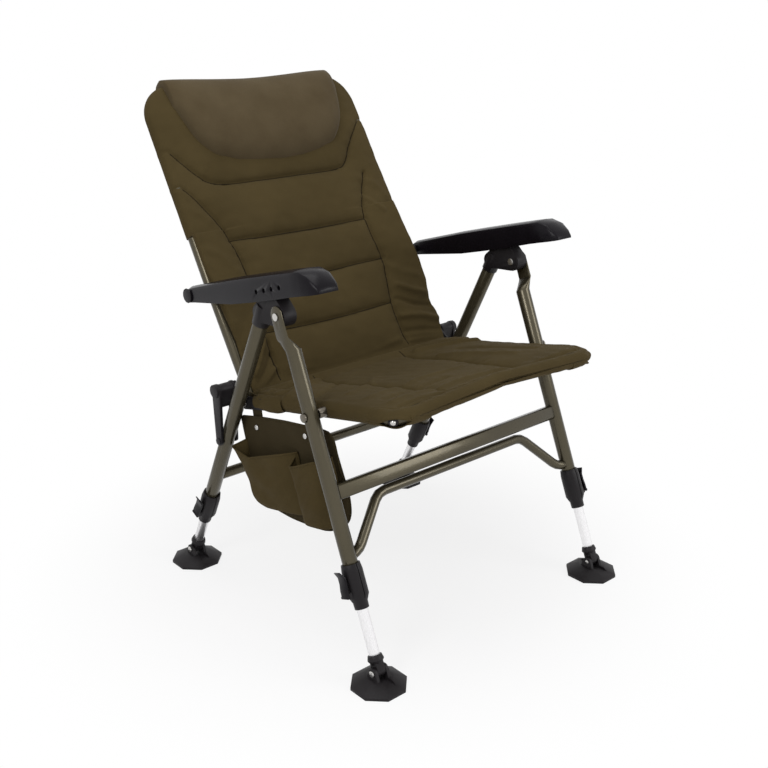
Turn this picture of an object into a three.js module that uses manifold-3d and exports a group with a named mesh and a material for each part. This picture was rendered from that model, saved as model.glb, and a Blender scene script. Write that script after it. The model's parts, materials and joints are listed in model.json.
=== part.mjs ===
// Carp fishing chair: a folding steel frame with a padded seat, a reclining padded back, two moulded
// armrests that step along a ratchet pin, and four leg tubes that lengthen on tilting foot pads.
// Lengths are in millimetres. The chair faces -Y, +Z is up and the sitter's right side is at -X.
import * as THREE from 'three';
import { mergeVertices } from 'three/addons/utils/BufferGeometryUtils.js';
import Module from 'manifold-3d';

const wasm = await Module();
wasm.setup();

// Driving dimensions, seen from the side
const ankleHeight = 28;
const frontFootAhead = 175.5;
const rearFootBehind = 409.8;
const seatPivotUpLeg = 457;
const legRivetUpLeg = 634.7;
const seatPivotToHinge = 240.6;
const armPivotUpBack = 225;
const linkPivotUpLeg = 327.4;
const kneeBehindHinge = 26.8;
const kneeAboveHinge = 30;
const frontLegLean = THREE.MathUtils.degToRad(-22.58);
const rearLegLean = THREE.MathUtils.degToRad(26.02);
const seatTilt = THREE.MathUtils.degToRad(-11.95);
const backLean = THREE.MathUtils.degToRad(-32.2);
const armrestPitch = THREE.MathUtils.degToRad(-12.6);

// Driving dimensions across the chair, from its middle plane
const legCentre = 291;
const seatTubeCentre = 247;
const backTubeCentre = 250;
const hingePlateInner = 265.2;

// Tubes
const legRadius = 14;
const legWall = 1.5;
const innerLegRadius = 10;
const innerLegWall = 1.4;
const seatTubeRadius = 12.5;
const backTubeRadius = 12;
const braceRadius = 9.5;
const rearBarRadius = 10.5;
const frontBarHeight = 28;
const frontBarDepth = 20;
const frameWall = 1.3;
const boreSides = 6;

// Clearances and shared small sizes
const gap = 0.3;
const pinGap = 0.2;
const overrun = 40;
const shankRadius = 4;
const plateThickness = 4.4;
const clothThickness = 2.5;

// Finishes
const paint = material(0x6b6553, 0.38, 0.55);
const brightTube = material(0xeceaec, 0.3, 0.6);
const brightSteel = material(0xc9c7c2, 0.25, 0.9);
const blackPlastic = material(0x2b2a2c, 0.55, 0);
const armPlastic = material(0x232226, 0.42, 0);
const canvas = material(0x4d432e, 0.85, 0);
const fleece = material(0x5a4e3c, 0.95, 0);

function material(color, roughness, metalness) {
  return new THREE.MeshStandardMaterial({ color, roughness, metalness });
}

// Solids: a closed three.js geometry becomes a solid that can be cut and joined, and comes back again
function solidOf(geometry) {
  const plain = geometry.index ? geometry.toNonIndexed() : geometry.clone();
  plain.deleteAttribute('normal');
  plain.deleteAttribute('uv');
  const merged = mergeVertices(plain, 1e-4);
  const mesh = new wasm.Mesh({
    numProp: 3,
    vertProperties: new Float32Array(merged.attributes.position.array),
    triVerts: new Uint32Array(merged.index.array),
  });
  const solid = new wasm.Manifold(mesh);
  if (solid.volume() >= 0) return solid;
  const turnedMesh = new wasm.Mesh({
    numProp: 3,
    vertProperties: mesh.vertProperties,
    triVerts: mesh.triVerts.slice().reverse(),
  });
  return new wasm.Manifold(turnedMesh);
}

function geometryOf(solid) {
  const mesh = solid.getMesh();
  const geometry = new THREE.BufferGeometry();
  const places = new Float32Array(mesh.vertProperties);
  geometry.setAttribute('position', new THREE.BufferAttribute(places, mesh.numProp));
  geometry.setIndex(new THREE.BufferAttribute(new Uint32Array(mesh.triVerts), 1));
  geometry.computeVertexNormals();
  return geometry;
}

function joined(...solids) {
  return solids.reduce((sum, next) => sum.add(next));
}

function cut(solid, ...tools) {
  return tools.reduce((rest, tool) => rest.subtract(tool), solid);
}

// A round bar along x between two places, centred at (y, z)
function crossRod(radius, fromX, toX, y, z, sides = 12) {
  const length = Math.abs(toX - fromX);
  const geometry = new THREE.CylinderGeometry(radius, radius, length, sides);
  geometry.rotateZ(Math.PI / 2);
  geometry.translate((fromX + toX) / 2, y, z);
  return solidOf(geometry);
}

// A shape revolved about the vertical line through (x, 0); the profile holds [radius, z] pairs
function revolved(profile, x, sides = 16) {
  const geometry = new THREE.LatheGeometry(profile.map(([r, z]) => new THREE.Vector2(r, z)), sides);
  geometry.rotateX(Math.PI / 2);
  geometry.translate(x, 0, 0);
  return solidOf(geometry);
}

function pipe(outer, inner, fromZ, toZ, x, sides = 16) {
  return revolved([[inner, fromZ], [outer, fromZ], [outer, toZ], [inner, toZ], [inner, fromZ]], x, sides);
}

function uprightRod(radius, fromZ, toZ, x, sides = 16) {
  return revolved([[0, fromZ], [radius, fromZ], [radius, toZ], [0, toZ]], x, sides);
}

function block(fromX, toX, fromY, toY, fromZ, toZ) {
  const geometry = new THREE.BoxGeometry(Math.abs(toX - fromX), toY - fromY, toZ - fromZ);
  geometry.translate((fromX + toX) / 2, (fromY + toY) / 2, (fromZ + toZ) / 2);
  return solidOf(geometry);
}

// A flat outline in the side plane, [y, z] pairs, given a thickness along x
function plate(outline, fromX, toX) {
  const shape = new THREE.Shape(outline.map(([y, z]) => new THREE.Vector2(y, z)));
  const depth = Math.abs(toX - fromX);
  const geometry = new THREE.ExtrudeGeometry(shape, { depth, bevelEnabled: false });
  const sideways = new THREE.Matrix4().makeBasis(
    new THREE.Vector3(0, 1, 0), new THREE.Vector3(0, 0, 1), new THREE.Vector3(1, 0, 0));
  geometry.applyMatrix4(sideways);
  geometry.translate(Math.min(fromX, toX), 0, 0);
  return solidOf(geometry);
}

// The outline of a band stretched round circles given as [y, z, radius]
function bandRound(circles, samples = 16) {
  const dots = [];
  for (const [y, z, radius] of circles) {
    for (let i = 0; i < samples; i++) {
      const angle = (i / samples) * 2 * Math.PI;
      dots.push([y + radius * Math.cos(angle), z + radius * Math.sin(angle)]);
    }
  }
  dots.sort((a, b) => a[0] - b[0] || a[1] - b[1]);
  const turn = (o, a, b) => (a[0] - o[0]) * (b[1] - o[1]) - (a[1] - o[1]) * (b[0] - o[0]);
  const half = (points) => {
    const chain = [];
    for (const dot of points) {
      while (chain.length > 1 && turn(chain.at(-2), chain.at(-1), dot) <= 0) chain.pop();
      chain.push(dot);
    }
    chain.pop();
    return chain;
  };
  return [...half(dots), ...half(dots.slice().reverse())];
}

// A skin over rings with equal point counts, closed at both ends by a fan from each ring's middle
function loft(rings) {
  const count = rings[0].length;
  const positions = rings.flat(2);
  const triangles = [];
  for (let r = 0; r + 1 < rings.length; r++) {
    for (let i = 0; i < count; i++) {
      const a = r * count + i;
      const b = r * count + (i + 1) % count;
      triangles.push(a, b, b + count, a, b + count, a + count);
    }
  }
  const fan = (ring, offset, reverse) => {
    const hub = positions.length / 3;
    positions.push(...[0, 1, 2].map((k) => ring.reduce((sum, dot) => sum + dot[k], 0) / count));
    for (let i = 0; i < count; i++) {
      const a = offset + i;
      const b = offset + (i + 1) % count;
      triangles.push(hub, reverse ? b : a, reverse ? a : b);
    }
  };
  fan(rings[0], 0, true);
  fan(rings.at(-1), (rings.length - 1) * count, false);
  const geometry = new THREE.BufferGeometry();
  geometry.setAttribute('position', new THREE.Float32BufferAttribute(positions, 3));
  geometry.setIndex(triangles);
  return solidOf(geometry);
}

// A round tube along straight runs joined by rounded bends
class BentPath extends THREE.Curve {
  constructor(corners, bendRadius, bendSteps = 4) {
    super();
    this.stops = [corners[0]];
    for (let i = 1; i + 1 < corners.length; i++) {
      const into = corners[i].clone().sub(corners[i - 1]).normalize();
      const out = corners[i + 1].clone().sub(corners[i]).normalize();
      const half = into.angleTo(out) / 2;
      const reach = bendRadius * Math.tan(half);
      const start = corners[i].clone().addScaledVector(into, -reach);
      const axis = into.clone().cross(out).normalize();
      const centre = start.clone().addScaledVector(axis.clone().cross(into), bendRadius);
      const steps = Math.max(1, Math.round(bendSteps * half / (Math.PI / 4)));
      for (let step = 0; step <= steps; step++) {
        const arm = start.clone().sub(centre).applyAxisAngle(axis, 2 * half * step / steps);
        this.stops.push(centre.clone().add(arm));
      }
    }
    this.stops.push(corners.at(-1));
  }
  getPoint(t) {
    return this.stops[Math.round(t * (this.stops.length - 1))].clone();
  }
  getPointAt(t) {
    return this.getPoint(t);
  }
  getTangentAt(t) {
    const i = Math.round(t * (this.stops.length - 1));
    const before = this.stops[Math.max(i - 1, 0)];
    const after = this.stops[Math.min(i + 1, this.stops.length - 1)];
    const here = this.stops[i];
    const into = here.clone().sub(before).normalize();
    const out = after.clone().sub(here).normalize();
    return into.add(out).normalize();
  }
}


function bentTube(corners, bendRadius, radius, sides = 12) {
  const path = new BentPath(corners.map(([x, y, z]) => new THREE.Vector3(x, y, z)), bendRadius);
  const dots = [];
  for (let i = 0; i < sides; i++) {
    const angle = (i / sides) * 2 * Math.PI;
    dots.push(new THREE.Vector2(radius * Math.cos(angle), radius * Math.sin(angle)));
  }
  const steps = path.stops.length - 1;
  return solidOf(new THREE.ExtrudeGeometry(new THREE.Shape(dots), { steps, extrudePath: path }));
}

// A bent tube with its wall: the bore follows the same bends and runs out past both ends
function openTube(corners, bendRadius, radius, wall) {
  const past = (end, next) => end.map((value, i) => {
    const length = Math.hypot(...end.map((other, k) => other - next[k]));
    return value + (value - next[i]) * overrun / length;
  });
  const ends = [past(corners[0], corners[1]), past(corners.at(-1), corners.at(-2))];
  const bored = [ends[0], ...corners.slice(1, -1), ends[1]];
  return cut(bentTube(corners, bendRadius, radius), bentTube(bored, bendRadius, radius - wall, boreSides));
}

// The chair as nested groups: each plane leans about x, with its origin at a pivot in the side view
const chair = new THREE.Group();

function sidePlane(y, z, lean) {
  const group = new THREE.Group();
  group.position.set(0, y, z);
  group.rotation.x = lean;
  chair.add(group);
  return group;
}

function add(group, name, solid, finish) {
  const mesh = new THREE.Mesh(geometryOf(solid), finish);
  mesh.name = name;
  group.add(mesh);
}

function turn([y, z], angle) {
  return [y * Math.cos(angle) - z * Math.sin(angle), y * Math.sin(angle) + z * Math.cos(angle)];
}

function placeIn(group, [y, z]) {
  const [dy, dz] = turn([y, z], group.rotation.x);
  return [group.position.y + dy, group.position.z + dz];
}

function seenFrom(group, [y, z]) {
  return turn([y - group.position.y, z - group.position.z], -group.rotation.x);
}

const frontLegs = sidePlane(-frontFootAhead, ankleHeight, frontLegLean);
const rearLegs = sidePlane(rearFootBehind, ankleHeight, rearLegLean);
const seat = sidePlane(...placeIn(frontLegs, [0, seatPivotUpLeg]), seatTilt);
const back = sidePlane(...placeIn(seat, [seatPivotToHinge, 0]), backLean);
const armrests = sidePlane(...placeIn(back, [0, armPivotUpBack]), armrestPitch);
const legRivet = placeIn(frontLegs, [0, legRivetUpLeg]);
const knee = placeIn(seat, [seatPivotToHinge + kneeBehindHinge, kneeAboveHinge]);
const linkPivot = placeIn(rearLegs, [0, linkPivotUpLeg]);
const sides = [['right', -1], ['left', 1]];

// Outer leg tubes: the front pair ends in a flattened tab, the rear pair in a moulded bracket
const frontTubeStart = 132;
const rearTubeStart = 110;
const tabThickness = 4.2;
const tabHalfWidth = 17;
const tabSwellBelowRivet = 62;
const tabFlatBelowRivet = 38;
const tabAboveRivet = 18;
const boreBelowTab = 12;
const tabCentre = legCentre + legRadius + gap + tabThickness / 4;
const rearTubeEnd = 655;
const legSides = 16;

function ringAbout(x, halfX, halfY, z) {
  const ring = [];
  for (let i = 0; i < legSides; i++) {
    const angle = (i / legSides) * 2 * Math.PI;
    ring.push([x + halfX * Math.cos(angle), halfY * Math.sin(angle), z]);
  }
  return ring;
}

function frontLegTube(side) {
  const swell = legRivetUpLeg - tabSwellBelowRivet;
  const flat = legRivetUpLeg - tabFlatBelowRivet;
  const end = legRivetUpLeg + tabAboveRivet;
  const tabX = side * tabCentre;
  const legX = side * legCentre;
  const outside = loft([
    ringAbout(legX, legRadius, legRadius, frontTubeStart),
    ringAbout(legX, legRadius, legRadius, swell),
    ringAbout((legX + tabX) / 2, (legRadius + tabThickness) / 2, (legRadius + tabHalfWidth) / 2,
      (swell + flat) / 2),
    ringAbout(tabX, tabThickness / 2, tabHalfWidth, flat),
    ringAbout(tabX, tabThickness / 2, tabHalfWidth, legRivetUpLeg + tabAboveRivet / 3),
    ringAbout(tabX, tabThickness / 2, tabHalfWidth * 3 / 4, legRivetUpLeg + tabAboveRivet * 3 / 4),
    ringAbout(tabX, tabThickness / 2, tabHalfWidth / 3, end),
  ]);
  const bore = uprightRod(legRadius - legWall, frontTubeStart - overrun, swell - boreBelowTab,
    legX, legSides);
  const outer = side * (legCentre + overrun);
  const inner = side * (legCentre - overrun);
  const seatHole = crossRod(shankRadius + pinGap, inner, outer, 0, seatPivotUpLeg);
  const rivetHole = crossRod(shankRadius + pinGap, inner, outer, 0, legRivetUpLeg);
  return cut(outside, bore, seatHole, rivetHole);
}

function rearLegTube(side) {
  const tube = pipe(legRadius, legRadius - legWall, rearTubeStart, rearTubeEnd, side * legCentre, legSides);
  const outer = side * (legCentre + overrun);
  const inner = side * (legCentre - overrun);
  return cut(tube, crossRod(shankRadius + pinGap, inner, outer, 0, linkPivotUpLeg));
}

for (const [word, side] of sides) {
  add(frontLegs, `front_leg_${word}`, frontLegTube(side), paint);
  add(rearLegs, `rear_leg_${word}`, rearLegTube(side), paint);
}

// Cross members between the legs
const frontBarUpLeg = 318;
const frontBarCorner = 5;
const braceEndUpLeg = 206;
const braceBendIn = 29;
const braceDropIn = 103;
const braceRise = 84;
const braceBehindLeg = 10;
const braceBend = 34;
const rearBarUpLeg = 222;
const barBoltRadius = 6.5;
const barBoltHead = 3;

function roundedBox(line, w, h, r) {
  line.moveTo(-w + r, -h);
  line.lineTo(w - r, -h);
  line.absarc(w - r, -h + r, r, -Math.PI / 2, 0);
  line.lineTo(w, h - r);
  line.absarc(w - r, h - r, r, 0, Math.PI / 2);
  line.lineTo(-w + r, h);
  line.absarc(-w + r, h - r, r, Math.PI / 2, Math.PI);
  line.lineTo(-w, -h + r);
  line.absarc(-w + r, -h + r, r, Math.PI, 3 * Math.PI / 2);
  return line;
}

function frontBar() {
  const reach = legCentre - legRadius / 2;
  const shape = roundedBox(new THREE.Shape(), frontBarDepth / 2, frontBarHeight / 2, frontBarCorner);
  shape.holes.push(roundedBox(new THREE.Path(),
    frontBarDepth / 2 - frameWall, frontBarHeight / 2 - frameWall, frontBarCorner - frameWall));
  const extrusion = { depth: 2 * reach, bevelEnabled: false, curveSegments: 2 };
  const geometry = new THREE.ExtrudeGeometry(shape, extrusion);
  geometry.applyMatrix4(new THREE.Matrix4().makeBasis(
    new THREE.Vector3(0, 1, 0), new THREE.Vector3(0, 0, 1), new THREE.Vector3(1, 0, 0)));
  geometry.translate(-reach, 0, frontBarUpLeg);
  const low = frontBarUpLeg - overrun;
  const high = frontBarUpLeg + overrun;
  const ends = sides.map(([, side]) => uprightRod(legRadius + gap, low, high, side * legCentre, legSides));
  return cut(solidOf(geometry), ...ends);
}

function frontBrace() {
  const tip = legCentre - legRadius / 2;
  const bend = legCentre - braceBendIn;
  const drop = legCentre - braceDropIn;
  const top = braceEndUpLeg + braceRise;
  const half = [[tip, 0, braceEndUpLeg], [bend, braceBehindLeg / 3, braceEndUpLeg + braceRadius / 2],
    [drop, braceBehindLeg, top]];
  const mirrored = half.map(([x, y, z]) => [-x, y, z]).reverse();
  const ends = sides.map(([, side]) => uprightRod(legRadius + gap, braceEndUpLeg - overrun,
    braceEndUpLeg + overrun, side * legCentre, legSides));
  return cut(openTube([...half, ...mirrored], braceBend, braceRadius, frameWall), ...ends);
}

function rearBar() {
  const reach = legCentre - legRadius / 2;
  const bar = crossRod(rearBarRadius, -reach, reach, 0, rearBarUpLeg);
  const bore = crossRod(rearBarRadius - frameWall, -legCentre, legCentre, 0, rearBarUpLeg);
  const low = rearBarUpLeg - overrun;
  const high = rearBarUpLeg + overrun;
  const ends = sides.map(([, side]) => uprightRod(legRadius + gap, low, high, side * legCentre, legSides));
  return cut(bar, bore, ...ends);
}

add(frontLegs, 'front_crossbar', frontBar(), paint);
add(frontLegs, 'front_brace', frontBrace(), paint);
add(rearLegs, 'rear_crossbar', rearBar(), paint);

// Leg clamps: a split moulded body with a narrow nose, and an outboard lever with a curled lip
const clampLength = 80;
const clampNoseRadius = 13.5;
const clampNoseLength = 18;
const clampRadius = 19;
const clampTopRadius = 17.2;
const clampShoulder = 12;
const clampSlit = 1.6;
const clampSlitDepth = 12;
const clampLugHalf = 7;
const clampLugReach = 8;
const leverPivotUpClamp = 28;
const leverPivotOut = 24.5;
const leverThickness = 4;
const leverHalfWidth = 9;
const leverLength = 46;
const leverLip = 9;
const leverPinRadius = 3;
const frontClampStart = frontTubeStart - clampNoseLength;
const rearClampStart = rearTubeStart - clampNoseLength;

function clampBody(side, start) {
  const x = side * legCentre;
  const shell = revolved([
    [0, start],
    [clampNoseRadius - 1.5 * gap, start],
    [clampNoseRadius, start + clampNoseLength * 2 / 3],
    [clampRadius, start + clampNoseLength + clampShoulder / 2],
    [clampRadius, start + clampLength - clampShoulder],
    [clampTopRadius, start + clampLength],
    [0, start + clampLength],
  ], x, legSides);
  const pivotZ = start + leverPivotUpClamp;
  const lugOut = side * (legCentre + leverPivotOut);
  const lugSection = (out, reach) => [
    [out, -clampLugHalf, pivotZ - reach], [out, clampLugHalf, pivotZ - reach],
    [out, clampLugHalf, pivotZ + reach], [out, -clampLugHalf, pivotZ + reach]];
  const lug = loft([lugSection(x, clampShoulder), lugSection(lugOut, clampLugReach / 2)]);
  const noseBore = uprightRod(innerLegRadius + gap, start - overrun, start + overrun, x, legSides);
  const tubeBore = uprightRod(legRadius + gap, start + clampNoseLength - gap, start + clampLength + overrun,
    x, legSides);
  const slit = block(x - clampSlit / 2, x + clampSlit / 2, -overrun, -clampRadius + clampSlitDepth,
    start + clampNoseLength, start + clampLength + overrun);
  return cut(joined(shell, lug), noseBore, tubeBore, slit);
}

function clampLever(side, start) {
  const pivotZ = start + leverPivotUpClamp;
  const face = legCentre + leverPivotOut + gap;
  const strip = (out, z, thickness, half) => [
    [side * (face + out), -half, z], [side * (face + out + thickness), -half, z],
    [side * (face + out + thickness), half, z], [side * (face + out), half, z]];
  const barrel = lengthRod(leverPinRadius, -leverHalfWidth, leverHalfWidth,
    side * (face + leverPinRadius), pivotZ, 12);
  const arm = loft([
    strip(gap, pivotZ, leverThickness, leverHalfWidth),
    strip(0, pivotZ + leverLength / 4, leverThickness, leverHalfWidth),
    strip(-leverThickness / 2, pivotZ + leverLength / 2, leverThickness, leverHalfWidth),
    strip(-leverThickness / 2, pivotZ + leverLength * 3 / 4, leverThickness, leverHalfWidth),
    strip(leverLip * 2 / 3, pivotZ + leverLength, leverThickness * 2 / 3, leverHalfWidth * 4 / 5),
  ]);
  return joined(arm, barrel);
}

const clampRuns = [['front', frontLegs, frontClampStart], ['rear', rearLegs, rearClampStart]];
for (const [place, group, start] of clampRuns) {
  for (const [word, side] of sides) {
    add(group, `${place}_clamp_${word}`, clampBody(side, start), blackPlastic);
    add(group, `${place}_lever_${word}`, clampLever(side, start), armPlastic);
  }
}

// Inner legs slide in the outer tubes; each ends in a moulded ankle whose tongue swings in the foot pad
const ankleTongueRadius = 9;
const ankleTongueHalf = 8.5;
const ankleNeck = 20;
const ankleCollarStart = 17;
const ankleCollarEnd = 29;
const ankleCollarRadius = 15;
const anklePlugEnd = 52;
const innerLegOverlap = 130;
const guideLength = 14;

function ankle(side) {
  const x = side * legCentre;
  const tongue = plate(bandRound([[0, 0, ankleTongueRadius], [0, ankleNeck, ankleTongueRadius]]),
    x - ankleTongueHalf, x + ankleTongueHalf);
  const collar = revolved([
    [0, ankleCollarStart - clampShoulder / 3],
    [ankleTongueRadius, ankleCollarStart - clampShoulder / 3],
    [ankleCollarRadius, ankleCollarStart + clampShoulder / 3],
    [innerLegRadius + 2 * innerLegWall, ankleCollarEnd],
    [innerLegRadius - innerLegWall - gap, ankleCollarEnd],
    [innerLegRadius - innerLegWall - gap, anklePlugEnd],
    [0, anklePlugEnd],
  ], x, legSides);
  return cut(joined(tongue, collar), crossRod(shankRadius + pinGap, x - overrun, x + overrun, 0, 0));
}

function innerLeg(side, tubeStart) {
  const x = side * legCentre;
  const top = tubeStart + innerLegOverlap;
  const bore = innerLegRadius - innerLegWall;
  const guide = legRadius - legWall - gap;
  return revolved([
    [bore, ankleCollarEnd + gap],
    [innerLegRadius, ankleCollarEnd + gap],
    [innerLegRadius, top - guideLength],
    [guide, top - guideLength + 2 * innerLegWall],
    [guide, top],
    [bore, top],
    [bore, ankleCollarEnd + gap],
  ], x, legSides);
}

// Foot pads: a low eight-sided dish with two ears round the ankle's tongue, and a steel pin through them
const padHalfWidth = 48;
const padSkirt = 5;
const padTopHeight = 17;
const padTopRadius = 27;
const padSides = 8;
const earHalfThickness = 3;
const earRadius = 9.5;
const earRoot = 13;
const pinHeadRadius = 6;
const pinHeadHeight = 2.4;

function footPad(side) {
  const x = side * legCentre;
  const corner = padHalfWidth / Math.cos(Math.PI / padSides);
  const floor = -ankleHeight;
  const lathe = new THREE.LatheGeometry([
    new THREE.Vector2(0, floor),
    new THREE.Vector2(corner, floor),
    new THREE.Vector2(corner, floor + padSkirt),
    new THREE.Vector2(padTopRadius, floor + padTopHeight),
    new THREE.Vector2(0, floor + padTopHeight),
  ], padSides, Math.PI / padSides);
  lathe.rotateX(Math.PI / 2);
  lathe.translate(x, 0, 0);
  const inner = ankleTongueHalf + 2 * gap;
  const outer = inner + 2 * earHalfThickness;
  const root = floor + padTopHeight - padSkirt;
  const ears = [-1, 1].map((hand) => plate(
    bandRound([[0, 0, earRadius], [-earRoot, root, padSkirt / 2], [earRoot, root, padSkirt / 2]]),
    x + hand * inner, x + hand * outer));
  const valley = block(x - inner, x + inner, -2 * padHalfWidth, 2 * padHalfWidth,
    floor + padTopHeight - padSkirt, ankleHeight);
  const hole = crossRod(shankRadius + pinGap, x - overrun, x + overrun, 0, 0);
  return cut(joined(cut(solidOf(lathe), valley), ...ears), hole);
}

function anklePin(side) {
  const x = side * legCentre;
  const reach = ankleTongueHalf + 2 * gap + 2 * earHalfThickness;
  const shank = crossRod(shankRadius, x - side * reach, x + side * (reach + pinHeadHeight), 0, 0);
  const head = crossRod(pinHeadRadius, x + side * (reach + gap), x + side * (reach + pinHeadHeight), 0, 0);
  return joined(shank, head);
}

const legRuns = [['front', frontLegs, frontTubeStart], ['rear', rearLegs, rearTubeStart]];
for (const [place, group, tubeStart] of legRuns) {
  const ground = sidePlane(group.position.y, group.position.z, 0);
  for (const [word, side] of sides) {
    add(group, `${place}_inner_leg_${word}`, innerLeg(side, tubeStart), brightTube);
    add(group, `${place}_ankle_${word}`, ankle(side), blackPlastic);
    add(ground, `${place}_foot_pad_${word}`, footPad(side), blackPlastic);
    add(ground, `${place}_ankle_pin_${word}`, anklePin(side), brightSteel);
  }
}

// Steel fasteners that join the front legs to the seat and to the rear legs' brackets
const boltHeadRadius = 8;
const boltHeadHeight = 3.4;
const spacerRadius = 9;
const bracketInset = 1;
const rivetHeadRadius = 7;
const rivetHeadHeight = 2.2;
const shankPastTube = 11;

function seatBolt(side) {
  const legOuter = legCentre + legRadius + gap;
  const spacerOuter = legCentre - legRadius - gap;
  const spacerInner = seatTubeCentre + seatTubeRadius + gap;
  const rod = (radius, from, to) => crossRod(radius, side * from, side * to, 0, seatPivotUpLeg);
  return joined(
    rod(shankRadius, seatTubeCentre - shankPastTube, legOuter + boltHeadHeight / 2),
    rod(spacerRadius, spacerInner, spacerOuter),
    rod(boltHeadRadius, legOuter, legOuter + boltHeadHeight));
}

const bracketInner = legCentre - legRadius + bracketInset;
const bracketOuter = tabCentre - tabThickness / 2 - gap;

function legRivetSolid(side) {
  const outer = tabCentre + tabThickness / 2 + gap;
  const inner = bracketInner - gap;
  const rod = (radius, from, to) => crossRod(radius, side * from, side * to, 0, legRivetUpLeg);
  return joined(
    rod(shankRadius, inner - rivetHeadHeight / 2, outer + rivetHeadHeight / 2),
    rod(rivetHeadRadius, inner - rivetHeadHeight, inner),
    rod(rivetHeadRadius, outer, outer + rivetHeadHeight));
}

for (const [word, side] of sides) {
  add(frontLegs, `seat_bolt_${word}`, seatBolt(side), brightSteel);
  add(frontLegs, `leg_rivet_${word}`, legRivetSolid(side), brightSteel);
}

// Brackets on the rear legs' tops: a socket for the tube, an ear on the leg rivet and a boss for the pin
const ratchetPinAhead = 271;
const ratchetPinBelow = 2.1;
const ratchetPinHalf = 18.4;
const bracketNose = 19;
const bracketBoss = 9;
const socketRadius = 16.2;
const socketLength = 36;
const socketCrown = 5;

const ratchetPin = placeIn(armrests, [-ratchetPinAhead, -ratchetPinBelow]);

function bracketSolid(side) {
  const [rivetY, rivetZ] = seenFrom(rearLegs, legRivet);
  const [pinY, pinZ] = seenFrom(rearLegs, ratchetPin);
  const socketTop = rearTubeEnd + socketCrown;
  const cheek = plate(bandRound([
    [rivetY, rivetZ, bracketNose],
    [pinY, pinZ, bracketBoss],
    [0, socketTop - socketRadius, socketRadius],
  ]), side * bracketInner, side * bracketOuter);
  const x = side * legCentre;
  const socket = uprightRod(socketRadius, rearTubeEnd - socketLength, socketTop, x, legSides);
  const tubeRoom = uprightRod(legRadius + gap, rearTubeEnd - socketLength - overrun, rearTubeEnd + gap,
    x, legSides);
  const hole = (y, z) => crossRod(shankRadius + pinGap, x - overrun, x + overrun, y, z);
  return cut(joined(cheek, socket), tubeRoom, hole(rivetY, rivetZ), hole(pinY, pinZ));
}

function ratchetPinSolid(side) {
  const [pinY, pinZ] = seenFrom(rearLegs, ratchetPin);
  const x = side * legCentre;
  return crossRod(shankRadius, x - ratchetPinHalf, x + ratchetPinHalf, pinY, pinZ);
}

for (const [word, side] of sides) {
  add(rearLegs, `leg_bracket_${word}`, bracketSolid(side), blackPlastic);
  add(rearLegs, `ratchet_pin_${word}`, ratchetPinSolid(side), brightSteel);
}

// Cushions are padded slings: a ring of points round the pad at each station, rounded over the side tubes
const frontSamples = 12;
const backSamples = 5;
const edgeSamples = 3;

function padRing(halfWidth, edge, plump, front, behind) {
  const reach = halfWidth - edge;
  const ring = [];
  for (let i = 0; i <= frontSamples; i++) {
    const x = reach * (2 * i / frontSamples - 1);
    ring.push([x, front(x, Math.abs(x) / reach)]);
  }
  const turnEdge = (hand, middle) => {
    for (let i = 1; i <= edgeSamples; i++) {
      const angle = hand * Math.PI * (0.5 - i / (edgeSamples + 1));
      ring.push([hand * (reach + edge * Math.cos(angle)), middle + edge * plump * Math.sin(angle)]);
    }
  };
  turnEdge(1, (front(reach, 1) + behind(reach, 1)) / 2);
  for (let i = 0; i <= backSamples; i++) {
    const x = reach * (1 - 2 * i / backSamples);
    ring.push([x, behind(x, Math.abs(x) / reach)]);
  }
  turnEdge(-1, (front(-reach, 1) + behind(-reach, 1)) / 2);
  return ring;
}

// Seat: a bent tube open to the rear, and the sling over it
const seatTubeEnd = 172;
const seatBarAhead = 172;
const seatBendStart = 120;
const seatCornerDrop = 5.5;
const seatBarRise = 8;
const seatTubeBend = 38;
const seatEdge = seatTubeRadius + clothThickness;
const seatPadEnd = 171.6;
const seatSag = 15;
const seatThickness = 15;
const seatFrontHalfWidth = 226;
const seatStationShares = [0.997, 0.9, 0.6, 0];
const seatGroovePlaces = [-140, -60, 20, 100];
const grooveHalfWidth = 14;
const seatGrooveDepth = 3.5;

function seatFrameCorners() {
  const half = [
    [seatTubeCentre, seatTubeEnd, 0],
    [seatTubeCentre, -seatBendStart, 0],
    [seatTubeCentre, -seatBarAhead, -seatCornerDrop],
    [0, -seatBarAhead, seatBarRise],
  ];
  const mirrored = half.slice(0, -1).map(([x, y, z]) => [-x, y, z]).reverse();
  return [...half, ...mirrored];
}

function seatFrame() {
  const tube = openTube(seatFrameCorners(), seatTubeBend, seatTubeRadius, frameWall);
  const reach = seatTubeCentre + overrun;
  return cut(tube, crossRod(shankRadius + pinGap, -reach, reach, 0, 0));
}

function seatRise(x, y) {
  const ahead = THREE.MathUtils.clamp((-y - seatBendStart) / (seatBarAhead - seatBendStart), 0, 1);
  const inward = 1 - Math.min(Math.abs(x) / seatTubeCentre, 1);
  return ahead * (-seatCornerDrop + (seatBarRise + seatCornerDrop) * inward);
}

function groove(place, places, halfWidth) {
  const near = Math.min(...places.map((middle) => Math.abs(place - middle)));
  return Math.max(0, 1 - near / halfWidth);
}

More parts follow.
